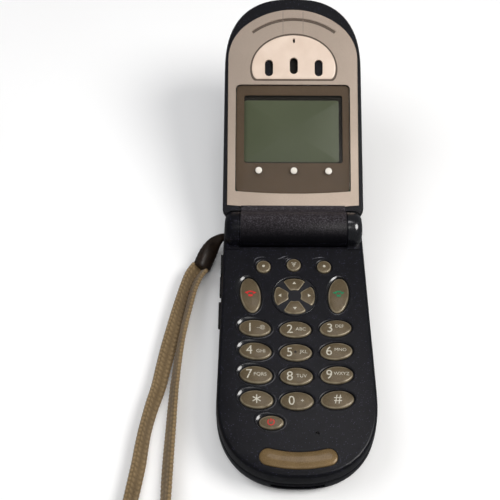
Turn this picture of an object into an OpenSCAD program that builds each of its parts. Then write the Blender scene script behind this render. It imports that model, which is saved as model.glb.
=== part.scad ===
// Small folding mobile telephone of the early 2000s with a flat woven wrist strap.
// The handset lies on its back, keypad up, chin towards -Y. The hinge axis runs
// along X above the origin, and the flip is drawn at its open stop.
// The origin is on the flat back, under the hinge axis.

/* [Handset] */
// Length of the closed telephone, from the back of the hinge to the chin
closed_len = 83; // [80:0.5:88]
// Widest breadth of the handset
handset_w = 44.7; // [43.5:0.2:47]
// Breadth of the handset at the hinge end
hinge_end_w = 43; // [42.6:0.2:44]
// Height of the keypad face above the back
face_z = 12; // [11.6:0.1:13.5]
// Height of the seam between rear and front housing
seam_z = 6.6; // [6.3:0.1:7]
// Thickness of the keypad wall
face_wall = 1.2; // [0.9:0.1:1.4]
// Thickness of the housings' side walls
side_wall = 1.4; // [1.2:0.1:1.8]
// Length of the rounded chin
chin_len = 23.5; // [20:0.5:26]

/* [Flip] */
// Length of the flip, from the hinge axis to its tip
flip_len = 74.3; // [71:0.1:75]
// How far each side of the flip stands in from the handset
flip_inset = 0.9; // [0.6:0.1:1.4]
// Thickness of the flip
flip_t = 8.3; // [7.8:0.1:9.5]
// Gap between the closed flip and the keypad face
closed_gap = 0.7; // [0.6:0.05:1]
// Angle between closed and open
open_angle = 154; // [145:1:158]
// Thickness of the silvered face plate
plate_t = 0.6; // [0.4:0.1:0.7]
// Margin of dark rim beside the face plate
rim_w = 1.2; // [1:0.1:1.8]
// Breadth of the display lens
lens_w = 35.5; // [33.5:0.5:36]
// Length of the display lens
lens_len = 34.6; // [33:0.2:35]
// Breadth of the glass of the display
glass_w = 32.5; // [31.5:0.5:33]

/* [Hinge] */
// Radius of the hinge barrel and knuckles
barrel_r = 5.5; // [5.2:0.1:5.8]
// Height of the hinge axis above the back
axis_z = 13; // [12.8:0.1:13.4]
// Length of the barrel on the flip
barrel_len = 32.4; // [30:0.2:33]
// Radius of the bore through the barrel
bore_r = 2.9; // [2.6:0.1:3.1]
// Radius of the shafts in the knuckles
shaft_r = 1.6; // [1.3:0.1:1.8]

/* [Keys] */
// Breadth of a number key
key_w = 9.1; // [8:0.1:9.4]
// Length of a number key
key_h = 5.2; // [4.6:0.1:5.6]
// Pitch of the rows of number keys
row_pitch = 7.3; // [7.1:0.1:7.4]
// How far the keys stand above the face
key_proud = 0.4; // [0.2:0.05:0.4]
// Travel of a key
key_travel = 0.3; // [0.2:0.05:0.3]
// Clearance round a key
key_gap = 0.15; // [0.1:0.05:0.25]
// Outer radius of the direction pad
pad_r = 6.75; // [6.4:0.05:6.9]
// How far the side keys stand out
side_key_proud = 1; // [0.8:0.1:1.2]
// Travel of a side key
side_key_travel = 0.4; // [0.2:0.1:0.5]

/* [Battery and back] */
// Breadth of the battery pack
battery_w = 34; // [30:0.5:35]
// Length of the battery pack
battery_len = 35; // [30:0.5:36]
// Thickness of the battery pack
battery_t = 4.3; // [3.8:0.1:4.4]
// Thickness of the battery cover
cover_t = 1.1; // [0.9:0.1:1.2]
// Travel of the battery cover
cover_travel = 6; // [4:0.5:8]
// Thickness of the main circuit board
board_t = 0.8; // [0.6:0.1:1]
// Radius of the headset plug's bore
jack_r = 1.25; // [1.2:0.05:1.3]
// Length of the antenna inside the housing
antenna_len = 9; // [6:0.5:9.4]

/* [Strap] */
// Breadth of the woven strap
strap_w = 5; // [4:0.2:5.4]
// Thickness of the woven strap
strap_t = 1.3; // [1:0.1:1.5]

/* [Hidden] */

eps = 0.02;
run_gap = 0.35;          // running clearance round the barrel and the knuckles
seat_gap = 0.1;          // clearance of a piece in its recess
colour_shell = [0.12, 0.13, 0.17];
colour_key = [0.43, 0.39, 0.32];
colour_plate = [0.72, 0.67, 0.6];
colour_strap = [0.59, 0.5, 0.34];
colour_board = [0.1, 0.35, 0.22];
colour_steel = [0.7, 0.7, 0.72];
colour_black = [0.07, 0.07, 0.08];

// Handset outline
rear_y = barrel_r;
chin_y = rear_y - closed_len;
chin_start_y = chin_y + chin_len;
rear_corner_r = 2.2;
chin_step = 1.5;
chin_step_w = 26;
chin_power = 2.4;

// Half an outline that ends in a rounded tip, mirrored to the other side
function tip_points(a, b, power, steps) = [
    for (i = [0:steps])
        let (c = cos(180 * i / steps), s = sin(180 * i / steps))
        [a * sign(c) * pow(abs(c), 2 / power), -b * pow(s, 2 / power)]];
function corner_points(cx, cy, r, from) = [
    for (i = [0:4]) [cx + r * cos(from + 22.5 * i), cy + r * sin(from + 22.5 * i)]];
handset_outline = concat(
    corner_points(-hinge_end_w / 2 + rear_corner_r, rear_y - rear_corner_r, rear_corner_r, 90),
    [for (p = tip_points(handset_w / 2, chin_len, chin_power, 36)) [-p[0], chin_start_y + p[1]]],
    corner_points(hinge_end_w / 2 - rear_corner_r, rear_y - rear_corner_r, rear_corner_r, 0));

// Flip outline, drawn closed over the handset
flip_z = face_z + closed_gap;
flip_top_z = flip_z + flip_t;
flip_w = handset_w - 2 * flip_inset;
flip_root_y = -3.5;
flip_root_hw = flip_w / 2 + 0.3;
flip_tip_b = 24.1;
flip_tip_y = -flip_len + flip_tip_b;
flip_corner_r = 3;
flip_outline = concat(
    corner_points(-flip_root_hw + flip_corner_r, flip_root_y - flip_corner_r, flip_corner_r, 90),
    [for (p = tip_points(flip_w / 2, flip_tip_b, 2.5, 36)) [-p[0], flip_tip_y + p[1]]],
    corner_points(flip_root_hw - flip_corner_r, flip_root_y - flip_corner_r, flip_corner_r, 0));
flip_seam_z = flip_z + 2.9;
flip_block_y = -9.5;     // the flip is solid between here and the barrel
flip_screw_x = flip_w / 2 - 5.85;
plate_z = flip_z + 0.2;
plate_tip_r = 23.7;
plate_shoulder_r = 14;
plate_hw = flip_w / 2 - rim_w;
lens_z = flip_z + 0.15;
lens_t = 1.1;
lens_y0 = -11.3;
lens_bow_r = 207;
bezel_floor_t = 0.5;     // floor of the bezel behind the face plate
display_y = -31.6;
display_len = 24;
frame_z = lens_z + lens_t;
frame_t = 2.6;
flip_board_z = frame_z + frame_t + 0.1;
ear_foot_y = -flip_len + 26.7;   // straight foot of the half-moon
ear_x = 0.3;
ear_hw = 13.3;
slot_pitch = 7.8;
ear_y = ear_foot_y - 6.4;        // middle of the speaker
ear_r = 7;

// Hinge
barrel_hw = barrel_len / 2;
knuckle_x = barrel_hw + 0.15;
knuckle_end_x = hinge_end_w / 2 - 0.5;
cradle_r = barrel_r + run_gap;
shaft_end_x = knuckle_x + 3.2;
bush_r = 2;
bush_in_x = 9;

// Stack of layers inside the handset
wall_z = face_z - face_wall;
flange_t = 0.5;
flange_z = wall_z - 0.05 - flange_t;
mat_top_z = flange_z - key_travel - 0.05;
board_z = seam_z + 1.7;
board_top_z = board_z + board_t;
dome_t = 0.15;
inner_y = -8;            // the housings are solid between here and the hinge end
cover_y = -14;           // the battery cover runs from here to the chin
cover_z = 3;
cover_gap = 0.15;
bay_top_z = cover_t + 0.2 + battery_t + 0.2;
battery_y = -39;
well = [-15.5, 15.5, -19, -8]; // pocket for sounder and motor: x0, x1, y0, y1
well_z = cover_z + 0.8;
screw_x = [hinge_end_w / 2 - 3.4, handset_w / 2 - 7.1];
screw_y = [-10.6, chin_start_y - 8.5];
screw_places = [[-screw_x[0], screw_y[0]], [screw_x[0], screw_y[0]], [-screw_x[1], screw_y[1]], [screw_x[1], screw_y[1]]];
screw_head_z = 1;
connector_w = 15.6;
connector_z = 3.4;
connector_h = 2.6;
jack_x = -8;
jack_z = 3.9;
jack_mouth_y = rear_y - 1;
jack_depth = 8.1;
antenna_w = 15;
antenna_h = 3.2;
antenna_x = 8.5;
antenna_y = -3.6;
antenna_z = 2;
pocket = [2.8, 4.6];     // y and z of the strap's pocket in the left side
pocket_w = 3.4;
pocket_h = 2.6;
pocket_x = -18.4;
pin_x = -20.2;
pin_r = 0.5;

// Keys: name, x, y, breadth, length and lean
row_y = -33.55;
row_x = [11.54, 11.4, 11.2, 11];
middle_drop = 0.42;
column_lean = 5.5;       // the outer columns' keys tilt, so that each row curves like a smile
soft_d = 4.2;
dish_margin = 0.8;
dish_depth = 0.45;
call_w = 5.9;
call_h = 11.8;
pad_y = -22.9;
mic = [5.3, -65];
soft_keys = [["left_soft_key", -9.05, -12.8, soft_d, soft_d, 0],
    ["menu_key", 0, -12.2, soft_d, soft_d, 0],
    ["right_soft_key", 9.05, -12.8, soft_d, soft_d, 0]];
call_keys = [["end_key", -12.9, -22.5, call_w, call_h, 8], ["send_key", 12.9, -22.5, call_w, call_h, -8]];
number_names = [["key_1", "key_2", "key_3"], ["key_4", "key_5", "key_6"],
    ["key_7", "key_8", "key_9"], ["key_star", "key_0", "key_hash"]];
number_keys = [for (r = [0:3], c = [0:2]) [number_names[r][c], (c - 1) * row_x[r],
    row_y - r * row_pitch - (c == 1 ? middle_drop : 0), key_w, key_h, (c - 1) * column_lean]];
power_keys = [["power_key", -7.05, -62.1, 6.6, 3.8, 0]];
oval_keys = concat(soft_keys, call_keys, number_keys, power_keys);
pad_names = [["nav_up", 0], ["nav_left", 90], ["nav_down", 180], ["nav_right", 270]];
petal_in = 1.9;
petal_out = 6.05;
petal_half_angle = 35;
side_keys = [["volume_up_key", -10.6, 7.4], ["volume_down_key", -18.2, 6.6], ["side_key", -27.8, 8.4]];
side_key_z = 8.7;
side_key_h = 2.6;
side_key_flange = 0.6;

// Route of the strap: x, y, z of its middle and how far it leans from lying flat.
// It leaves the sleeve, runs down the left strand, turns and comes back.
strap_route = [
    [-29.6, -7.4, 2.9, 55], [-31.6, -10.6, 2.7, 58], [-33, -15, 2.5, 58], [-34.8, -23, 2.4, 52],
    [-36, -29.5, 2.4, 42], [-37.2, -36, 2.3, 35], [-38.2, -42, 2.3, 38], [-39.2, -48, 2.4, 46],
    [-40.7, -54, 2.4, 54], [-41.9, -60, 2.4, 58], [-42.6, -65.5, 2.4, 54], [-43.1, -71, 2.4, 50],
    [-44.4, -80, 2.4, 52], [-46, -91, 2.5, 60], [-48.5, -103, 2.6, 70], [-51, -115, 2.7, 80],
    [-52.6, -127, 2.7, 88], [-51.5, -138, 2.7, 90], [-46, -145, 2.7, 90], [-39, -143, 2.7, 90],
    [-35.4, -135, 2.7, 90], [-34, -124, 2.7, 90], [-33.8, -112, 2.7, 86], [-34.4, -100, 2.7, 78],
    [-35, -90, 2.6, 68], [-35.1, -80, 2.5, 58], [-35.1, -71, 2.5, 55], [-34.9, -60, 2.5, 58],
    [-34.6, -48, 2.5, 62], [-33.7, -36, 2.6, 66], [-32.7, -28, 2.6, 66], [-31.7, -22, 2.6, 64],
    [-30.6, -16, 2.6, 62], [-29.2, -11.6, 2.7, 58], [-27.3, -8.6, 2.9, 55]];
// Route of the dark sleeve from the pocket to the strap: x, y, z, lean, breadth, thickness
sleeve_route = [
    [-19.2, 2.8, 4.6, 0, 2.3, 1.5], [-21.6, 2.8, 4.6, 2, 2.4, 1.6], [-23, 2.1, 4.6, 10, 3, 2.1],
    [-24.9, 0, 4.3, 28, 4.6, 3.1], [-26.6, -3.4, 3.8, 45, 5.4, 4], [-28.45, -8, 2.95, 55, 5.4, 4.3]];

module in_flip() {
    translate([0, 0, axis_z]) rotate([-open_angle, 0, 0]) translate([0, 0, -axis_z]) children();
}

// A rounded block: the outline at each level [z, inset], joined by one smooth skin
module skin(levels) {
    hull() for (level = levels)
        translate([0, 0, level[0]]) linear_extrude(eps) offset(delta = -level[1]) children();
}

module slab(z0, z1) { translate([0, 0, z0]) linear_extrude(z1 - z0) children(); }
module box(x0, x1, y0, y1, z0, z1) { translate([x0, y0, z0]) cube([x1 - x0, y1 - y0, z1 - z0]); }
module rounded_rect(w, h, r) { offset(r = r, $fn = 24) square([w - 2 * r, h - 2 * r], center = true); }
module along_x(x0, x1, r) { translate([x0, 0, 0]) rotate([0, 90, 0]) cylinder(h = x1 - x0, r = r, $fn = 64); }
module along_y(y0, y1, r) { translate([0, y1, 0]) rotate([90, 0, 0]) cylinder(h = y1 - y0, r = r, $fn = 48); }
module at_axis() { translate([0, 0, axis_z]) children(); }
module both_sides() { children(); mirror([1, 0, 0]) children(); }
module side_profile(hw, points) { rotate([90, 0, 90]) translate([0, 0, -hw]) linear_extrude(2 * hw) polygon(points); }

// ---- Handset housings ----

module front_outer() {
    skin([[seam_z, 0.35], [seam_z + 1.6, 0.2], [face_z - 1, 0.38], [face_z - 0.3, 0.75],
        [face_z - eps, 1.3]]) polygon(handset_outline);
}

// Domed hinge knuckle, with room to spare all round when grow is above zero
module knuckle(grow) {
    profile = [[5.5, 0], [5.5, 2.1], [5.36, 2.95], [5, 3.65], [4.45, 4.25], [3.7, 4.65], [2.6, 4.9], [1.2, 5]];
    span = (knuckle_end_x - knuckle_x) / 5;
    k = barrel_r / 5.5;
    at_axis() rotate([0, 90, 0]) translate([0, 0, knuckle_x - grow]) rotate_extrude($fn = 72)
        polygon(concat([[0, 0]], [for (p = profile) [p[0] * k + grow, p[1] * span + (p[1] > 0 ? 2 * grow : 0)]],
            [[0, 5 * span + 2 * grow]]));
}

module key_outline(key, grow) {
    a = key[3] / 2 + grow;
    b = key[4] / 2 + grow;
    translate([key[1], key[2]]) rotate(key[5])
        polygon([for (i = [0:23]) [a * cos(i * 15), b * sin(i * 15)]]);
}

module petal_outline(turn, grow) {
    r0 = petal_in;
    r1 = petal_out;
    h = petal_half_angle;
    translate([0, pad_y]) rotate(turn) offset(r = 0.5 + grow, $fn = 16) offset(delta = -0.5)
        polygon(concat([for (i = [-4:4]) [r1 * sin(i * h / 4), r1 * cos(i * h / 4)]],
            [[r0 * sin(-h), r0 * cos(h)], [r0 * sin(h), r0 * cos(h)]]));
}

module chin_plate_outline(grow) {
    // a band along an arc, with round ends
    r = 2.3 + grow;
    bow_r = 32;
    end = asin(8 / bow_r);
    ends = [for (s = [-1, 1]) [s * sin(end), -cos(end)]];
    translate([0, chin_y + 4.9 + bow_r]) difference() {
        union() {
            intersection() {
                circle(r = bow_r + r, $fn = 160);
                polygon([[0, 0], ends[0] * bow_r * 1.5, ends[1] * bow_r * 1.5]);
            }
            for (e = ends) translate(e * (bow_r - 0.04)) circle(r = r, $fn = 32);
        }
        circle(r = bow_r - r, $fn = 160);
    }
}

module front_housing() {
    color(colour_shell) difference() {
        union() {
            difference() {
                front_outer();
                // hollow under the keypad wall
                intersection() {
                    slab(seam_z - 1, wall_z) offset(delta = -side_wall) polygon(handset_outline);
                    box(-50, 50, chin_y, inner_y, 0, face_z);
                }
                // cradle of the barrel, open to the rear so that the flip can lie back
                at_axis() along_x(-knuckle_x - 0.1, knuckle_x + 0.1, cradle_r);
                side_profile(knuckle_x + 0.1, [[0, axis_z - cradle_r], [1.2, axis_z - cradle_r + 0.1],
                    [rear_y + 0.2, axis_z - barrel_r + 0.9], [rear_y + 0.2, axis_z], [0, axis_z]]);
                side_profile(30, [[2.2, face_z + 0.1], [rear_y + 0.1, face_z + 0.1], [rear_y + 0.1, face_z - 2.5]]);
            }
            both_sides() {
                knuckle(0);
                box(knuckle_x + 0.1, hinge_end_w / 2 - 1.2, -6.7, -2, face_z - 1, face_z + 0.25);
            }
            for (p = screw_places) translate([p[0], p[1], board_top_z + 0.1])
                cylinder(h = wall_z - board_top_z, r = 1.8, $fn = 32);
        }
        // holes and shallow dishes of the keys
        slab(wall_z - 0.1, face_z + 0.1) for (key = oval_keys) key_outline(key, key_gap);
        slab(face_z - dish_depth, face_z + 0.1) for (key = oval_keys) key_outline(key, dish_margin);
        slab(wall_z - 0.1, face_z) for (p = pad_names) petal_outline(p[1], key_gap);
        slab(face_z - 0.8, face_z + 0.1) translate([0, pad_y]) circle(r = pad_r + seat_gap, $fn = 72);
        slab(face_z - 0.5, face_z + 0.1) chin_plate_outline(seat_gap);
        translate([mic[0], mic[1], wall_z - 0.1]) cylinder(h = face_wall + 0.2, r = 0.5, $fn = 24);
        // side keys, hinge shafts and screws
        for (k = side_keys) translate([-outline_x(k[1]), k[1], side_key_z]) rotate([0, 90, 0]) {
            translate([0, 0, -1]) linear_extrude(side_wall + 1.5)
                rounded_rect(side_key_h + 2 * key_gap, k[2] + 2 * key_gap, 1);
            translate([0, 0, side_wall]) linear_extrude(1.4)
                rounded_rect(side_key_h + side_key_flange + 2 * key_gap, k[2] + side_key_flange + 2 * key_gap, 1);
        }
        at_axis() along_x(knuckle_x - 0.2, shaft_end_x, shaft_r + 0.1);
        at_axis() along_x(-shaft_end_x, -knuckle_x + 0.2, bush_r + 0.02);
        for (p = screw_places) translate([p[0], p[1], board_top_z])
            cylinder(h = wall_z - board_top_z, r = 0.55, $fn = 24);
    }
}

// The chin's lower edge steps back over the middle, above the accessory connector's plug
module rear_outer() {
    difference() {
        skin([[0, 2.6], [0.4, 1.6], [1.2, 0.8], [2.4, 0.25], [3.8, 0.02], [seam_z - 0.6, 0.05], [seam_z - eps, 0.3]])
            polygon(handset_outline);
        box(-chin_step_w / 2, chin_step_w / 2, chin_y - 1, chin_y + chin_step, -1, chin_step);
    }
}

module cover_zone(gap) { box(-50, 50, chin_y - 1, cover_y + gap, -1, cover_z + gap); }

module rear_housing() {
    color(colour_shell) difference() {
        rear_outer();
        cover_zone(0);
        // battery bay, pocket for the sounder and motor, and room over the connector
        box(-battery_w / 2 - 0.4, battery_w / 2 + 0.4, battery_y - battery_len / 2 - 0.4,
            battery_y + battery_len / 2 + 0.4, 0, bay_top_z);
        box(well[0], well[1], well[2], well[3], well_z, seam_z + 1);
        box(-13.6, 13.6, -71, battery_y - battery_len / 2 - 1.2, 0, seam_z - 0.8);
        box(-connector_w / 2 - 0.15, connector_w / 2 + 0.15, chin_y + 1.2, chin_y + 6, connector_z - 0.15, seam_z + 1);
        box(-connector_w / 2 + 0.6, connector_w / 2 - 0.6, chin_y - 1, chin_y + 2, connector_z + 0.3,
            connector_z + connector_h - 0.3);
        // headset jack, antenna and strap pocket
        box(jack_x - 3.1, jack_x + 3.1, jack_mouth_y - jack_depth - 1, rear_y + 1, jack_z - 2.6, jack_z + 2.2);
        box(antenna_x - antenna_w / 2 - 0.2, antenna_x + antenna_w / 2 + 0.2, antenna_y - 0.2,
            antenna_y + antenna_len - 0.8, antenna_z - 0.5, antenna_z + antenna_h + 0.2);
        box(-30, pocket_x, pocket[0] - pocket_w / 2, pocket[0] + pocket_w / 2, pocket[1] - pocket_h / 2,
            pocket[1] + pocket_h / 2);
        translate([pin_x, pocket[0], pocket[1] - pocket_h / 2 - 1]) cylinder(h = pocket_h + 2, r = pin_r + 0.02, $fn = 24);
        for (p = screw_places) translate([p[0], p[1], -1]) {
            cylinder(h = seam_z + 2, r = 0.9, $fn = 24);
            cylinder(h = 1 + screw_z(p) + 1, r = 1.75, $fn = 32);
        }
    }
}
function screw_z(p) = p[1] > cover_y ? screw_head_z : cover_z + 0.4;

module battery_cover() {
    color(colour_shell) difference() {
        intersection() {
            rear_outer();
            cover_zone(-cover_gap);
        }
        slab(cover_t, cover_z + 1) offset(delta = -3.3) polygon(handset_outline);
    }
}

module battery_pack() {
    r = 1.6;
    color([0.2, 0.2, 0.22]) translate([0, battery_y, cover_t + 0.2]) linear_extrude(battery_t)
        rounded_rect(battery_w, battery_len, r);
}

module board_outline(inset) {
    intersection() {
        offset(delta = -inset) polygon(handset_outline);
        translate([-50, chin_y]) square([100, inner_y - 0.6 - chin_y]);
    }
}

module main_board() {
    color(colour_board) slab(board_z, board_top_z) difference() {
        board_outline(side_wall + 1.8);
        for (p = screw_places) translate(p) circle(r = 1, $fn = 32);
    }
}

module shield_cans() {
    color(colour_steel) for (place = [[-1.5, -48, 27, 16], [0, -29, 30, 17]])
        difference() {
            slab(seam_z + 0.3, board_z) translate([place[0], place[1]]) rounded_rect(place[2], place[3], 0.8);
            slab(seam_z + 0.6, board_z + 1) translate([place[0], place[1]]) square([place[2] - 0.8, place[3] - 0.8], center = true);
        }
}

module dome_sheet() {
    color([0.75, 0.75, 0.7]) difference() {
        slab(board_top_z, board_top_z + dome_t) board_outline(side_wall + 2.6);
        for (p = screw_places) translate([p[0], p[1], board_top_z - 1]) cylinder(h = 3, r = 2.2, $fn = 32);
        translate([mic[0], mic[1], board_top_z - 1]) cylinder(h = 3, r = 2.5, $fn = 32);
    }
}

module keypad_mat() {
    color([0.55, 0.55, 0.5]) difference() {
        slab(board_top_z + dome_t, mat_top_z) board_outline(side_wall + 2.6);
        for (p = screw_places) translate([p[0], p[1], board_top_z - 1]) cylinder(h = 3, r = 2.2, $fn = 32);
        translate([mic[0], mic[1], board_top_z - 1]) cylinder(h = 3, r = 2.5, $fn = 32);
    }
}

module nav_ring() {
    color(colour_black) difference() {
        slab(face_z - 0.8, face_z + 0.1) translate([0, pad_y]) circle(r = pad_r, $fn = 72);
        slab(face_z - 1, face_z + 1) for (p = pad_names) petal_outline(p[1], key_gap);
    }
}

module chin_plate() { color([0.6, 0.52, 0.42]) slab(face_z - 0.5, face_z + 0.1) chin_plate_outline(0); }

module microphone() {
    color(colour_steel) translate([mic[0], mic[1], board_top_z]) cylinder(h = wall_z - 0.2 - board_top_z, r = 2.1, $fn = 40);
}

module alert_sounder() {
    color(colour_black) translate([8, -13.2, well_z + 0.1]) difference() {
        cylinder(h = 3.2, r = 4.2, $fn = 48);
        translate([0, 0, 2.6]) cylinder(h = 1, r = 1, $fn = 24);
    }
}

module vibration_motor() {
    color(colour_steel) translate([0, -13, well_z + 2.1]) {
        along_x(-13, -5, 2);
        along_x(-5, -4, 0.5);
        difference() {
            along_x(-4, -1.4, 1.9);
            box(-5, 0, -3, 3, 0.5, 3);
        }
    }
}

module sim_holder() {
    z = seam_z - 0.8;
    color(colour_steel) difference() {
        box(-13, 13, -70.6, -59, z - 1.2, z);
        box(-12.2, 12.2, -71, -59.8, z - 1, z - 0.2);
        box(-9, 9, -68, -62, z - 2, z - 0.9);
    }
}

module accessory_connector() {
    color(colour_black) difference() {
        box(-connector_w / 2, connector_w / 2, chin_y + 1.3, chin_y + 5.8, connector_z, connector_z + connector_h);
        box(-connector_w / 2 + 0.8, connector_w / 2 - 0.8, chin_y, chin_y + 4, connector_z + 0.4, connector_z + 1.1);
        for (i = [-4:4]) box(i * 1.5 - 0.35, i * 1.5 + 0.35, chin_y, chin_y + 3, connector_z + 0.8, connector_z + 1.9);
    }
}

module headset_jack() {
    color(colour_black) difference() {
        intersection() {
            rear_outer();
            box(jack_x - 2.9, jack_x + 2.9, jack_mouth_y - jack_depth - 0.8, rear_y + 1, jack_z - 2.4, jack_z + 2);
        }
        translate([jack_x, 0, jack_z]) along_y(jack_mouth_y - jack_depth, rear_y + 1, jack_r);
        translate([jack_x, 0, jack_z]) along_y(jack_mouth_y, rear_y + 1, jack_r + 0.5);
    }
}

module antenna() {
    color([0.7, 0.55, 0.3]) translate([antenna_x - antenna_w / 2, antenna_y, antenna_z - 0.3]) difference() {
        cube([antenna_w, antenna_len - 1, antenna_h]);
        for (i = [0:3]) translate([1.5 + i * 3.2, i % 2 * 1.4 - 0.7, antenna_h - 0.5]) cube([0.7, antenna_len - 1, 1]);
    }
}

module hinge_bush() {
    color(colour_steel) at_axis() difference() {
        along_x(-shaft_end_x + 0.1, -bush_in_x - 0.2, bush_r);
        along_x(-shaft_end_x - 1, -bush_in_x + 1, 1.4);
    }
}

module housing_screws() {
    color(colour_steel) for (p = screw_places) translate([p[0], p[1], screw_z(p)]) difference() {
        union() {
            cylinder(h = 0.95, r = 1.6, $fn = 32);
            cylinder(h = board_top_z + 0.9 - screw_z(p), r = 0.5, $fn = 24);
        }
        translate([0, 0, -1]) cylinder(h = 1.5, r = 0.7, $fn = 6);
    }
}

module strap_pin() {
    color(colour_steel) translate([pin_x, pocket[0], pocket[1] - pocket_h / 2 - 0.9])
        cylinder(h = pocket_h + 1.5, r = pin_r, $fn = 24);
}

// ---- Wrist strap ----

function unit(v) = v / norm(v);
function catmull(a, b, c, d, t) = 0.5 * ((2 * b) + (c - a) * t + (2 * a - 5 * b + 4 * c - d) * t * t
    + (3 * b - a - 3 * c + d) * t * t * t);
function smooth_route(p, parts) = let (n = len(p) - 1) concat(
    [for (i = [0:n - 1], k = [0:parts - 1])
        catmull(p[max(i - 1, 0)], p[i], p[i + 1], p[min(i + 2, n)], k / parts)], [p[n]]);
// Flat oval section across the heading, leaning by a given angle from lying flat
function ring_at(p, heading, w, t) =
    let (flat = unit([heading[1], -heading[0], 0]), up = unit(cross(flat, heading)),
        lean = p[3], wide = cos(lean) * flat + sin(lean) * up, thin = cross(wide, heading))
    [for (q = [[0.5, -0.25], [0.5, 0.25], [0.43, 0.5], [-0.43, 0.5], [-0.5, 0.25], [-0.5, -0.25], [-0.43, -0.5], [0.43, -0.5]])
        [p[0], p[1], p[2]] + q[0] * w * wide + q[1] * t * thin];
function heading_at(p, i) = let (n = len(p) - 1, a = p[max(i - 1, 0)], b = p[min(i + 1, n)])
    unit([b[0] - a[0], b[1] - a[1], b[2] - a[2]]);

module swept(rings) {
    n = len(rings);
    m = len(rings[0]);
    polyhedron(points = [for (r = rings) each r], faces = concat(
        [[for (j = [0:m - 1]) j]],
        [for (i = [0:n - 2], j = [0:m - 1]) [i * m + j, (i + 1) * m + j, (i + 1) * m + (j + 1) % m, i * m + (j + 1) % m]],
        [[for (j = [m - 1:-1:0]) (n - 1) * m + j]]), convexity = 6);
}

module wrist_strap() {
    p = smooth_route(strap_route, 2);
    color(colour_strap) swept([for (i = [0:len(p) - 1]) ring_at(p[i], heading_at(p, i), strap_w, strap_t)]);
}

module strap_sleeve() {
    p = sleeve_route;
    color([0.16, 0.12, 0.09]) difference() {
        swept([for (i = [0:len(p) - 1]) ring_at(p[i], heading_at(p, i), p[i][4], p[i][5])]);
        translate([pin_x, pocket[0], 0]) cylinder(h = 9, r = pin_r + 0.2, $fn = 24);
    }
}

// ---- Keys ----

module oval_key(key) {
    top = face_z + key_proud;
    crown_r = 26;
    color(colour_key) union() {
        intersection() {
            slab(flange_z, top + 0.1) key_outline(key, 0);
            translate([key[1], key[2], top - crown_r]) sphere(r = crown_r, $fn = 120);
        }
        slab(flange_z, flange_z + flange_t) key_outline(key, 0.5);
    }
}

module petal_key(turn) {
    top = face_z + key_proud;
    crown_r = 26;
    color(colour_key) union() {
        intersection() {
            slab(flange_z, top + 0.1) petal_outline(turn, 0);
            translate([0, pad_y, top - crown_r]) sphere(r = crown_r, $fn = 120);
        }
        slab(flange_z, flange_z + flange_t) petal_outline(turn, 0.35);
    }
}

function outline_x(y) = let (f = min(1, max(0, (rear_y - rear_corner_r - y) / (rear_y - rear_corner_r - chin_start_y))))
    (hinge_end_w + (handset_w - hinge_end_w) * f) / 2;

module side_push_key(k) {
    x = outline_x(k[1]);
    inner = x - side_wall - 0.1;
    color(colour_black) translate([0, k[1], side_key_z]) rotate([0, -90, 0]) union() {
        difference() {
            translate([0, 0, inner - 0.5]) linear_extrude(side_wall + 0.6 + side_key_proud)
                rounded_rect(side_key_h, k[2], 0.9);
            for (s = [-1, 1]) translate([s * (side_key_h / 2 + 0.55), 0, x + side_key_proud + 0.35]) rotate([0, 45, 0])
                cube([1.6, 20, 1.6], center = true);
        }
        translate([0, 0, inner - 0.5]) linear_extrude(0.5)
            rounded_rect(side_key_h + side_key_flange, k[2] + side_key_flange, 0.9);
    }
}

// ---- Flip, drawn closed and swung open ----

module flip_outer() {
    difference() {
        union() {
            intersection() {
                skin([[flip_z, 0.5], [flip_z + 0.7, 0.1], [flip_z + 2.6, 0], [flip_top_z - 3.6, 0.35],
                    [flip_top_z - 2, 1.3], [flip_top_z - 0.9, 2.8], [flip_top_z - 0.25, 4.8], [flip_top_z - eps, 7]])
                    polygon(flip_outline);
                side_profile(30, [[-80, flip_z - 1], [flip_root_y + 0.1, flip_z - 1], [flip_root_y - 0.1, flip_z + 1.8],
                    [flip_root_y - 0.9, flip_z + 3.9], [flip_root_y - 2.5, flip_z + 5.9],
                    [flip_root_y - 5, flip_z + 7.1], [flip_root_y - 11, flip_top_z - 0.4], [-24, flip_top_z + 0.1],
                    [-80, flip_top_z + 0.1]]);
            }
            side_profile(barrel_hw, [[-9, flip_z], [0, flip_z], [0, axis_z + barrel_r],
                [-9, flip_top_z - 1.1]]);
        }
        both_sides() knuckle(run_gap);
    }
}

module barrel() { at_axis() along_x(-barrel_hw, barrel_hw, barrel_r); }

module plate_outline(grow) {
    // straight sides, a shallow arc at the tip and a slight bow towards the hinge
    offset(r = plate_shoulder_r + grow, $fn = 120) offset(delta = -plate_shoulder_r) intersection() {
        translate([0, -flip_len + 27.5]) circle(r = plate_tip_r, $fn = 180);
        translate([-plate_hw, -80]) square([2 * plate_hw, 72]);
    }
    translate([-plate_hw - grow, -flip_len + 20.3]) square([2 * plate_hw + 2 * grow, flip_len - 20.3 - 7.7 + grow]);
    intersection() {
        translate([0, -250 - 6.8]) circle(r = 250 + grow, $fn = 720);
        translate([-plate_hw - grow, -12]) square([2 * plate_hw + 2 * grow, 12]);
    }
}

module lens_outline(grow) {
    intersection() {
        translate([0, lens_y0 - lens_len / 2]) rounded_rect(lens_w + 2 * grow, lens_len + 2 * grow, 1.4 + grow);
        translate([0, lens_y0 - lens_bow_r]) circle(r = lens_bow_r + grow, $fn = 720);
    }
}

module ear_outline(grow) {
    a = ear_hw;
    translate([ear_x, ear_foot_y]) offset(delta = grow)
        polygon(concat([[-a + 1.8, 0], [-a + 0.7, -0.5]],
            [for (i = [0:20]) [-a * cos(i * 9), -3.6 - 11 * sin(i * 9)]], [[a - 0.7, -0.5], [a - 1.8, 0]]));
}

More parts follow.
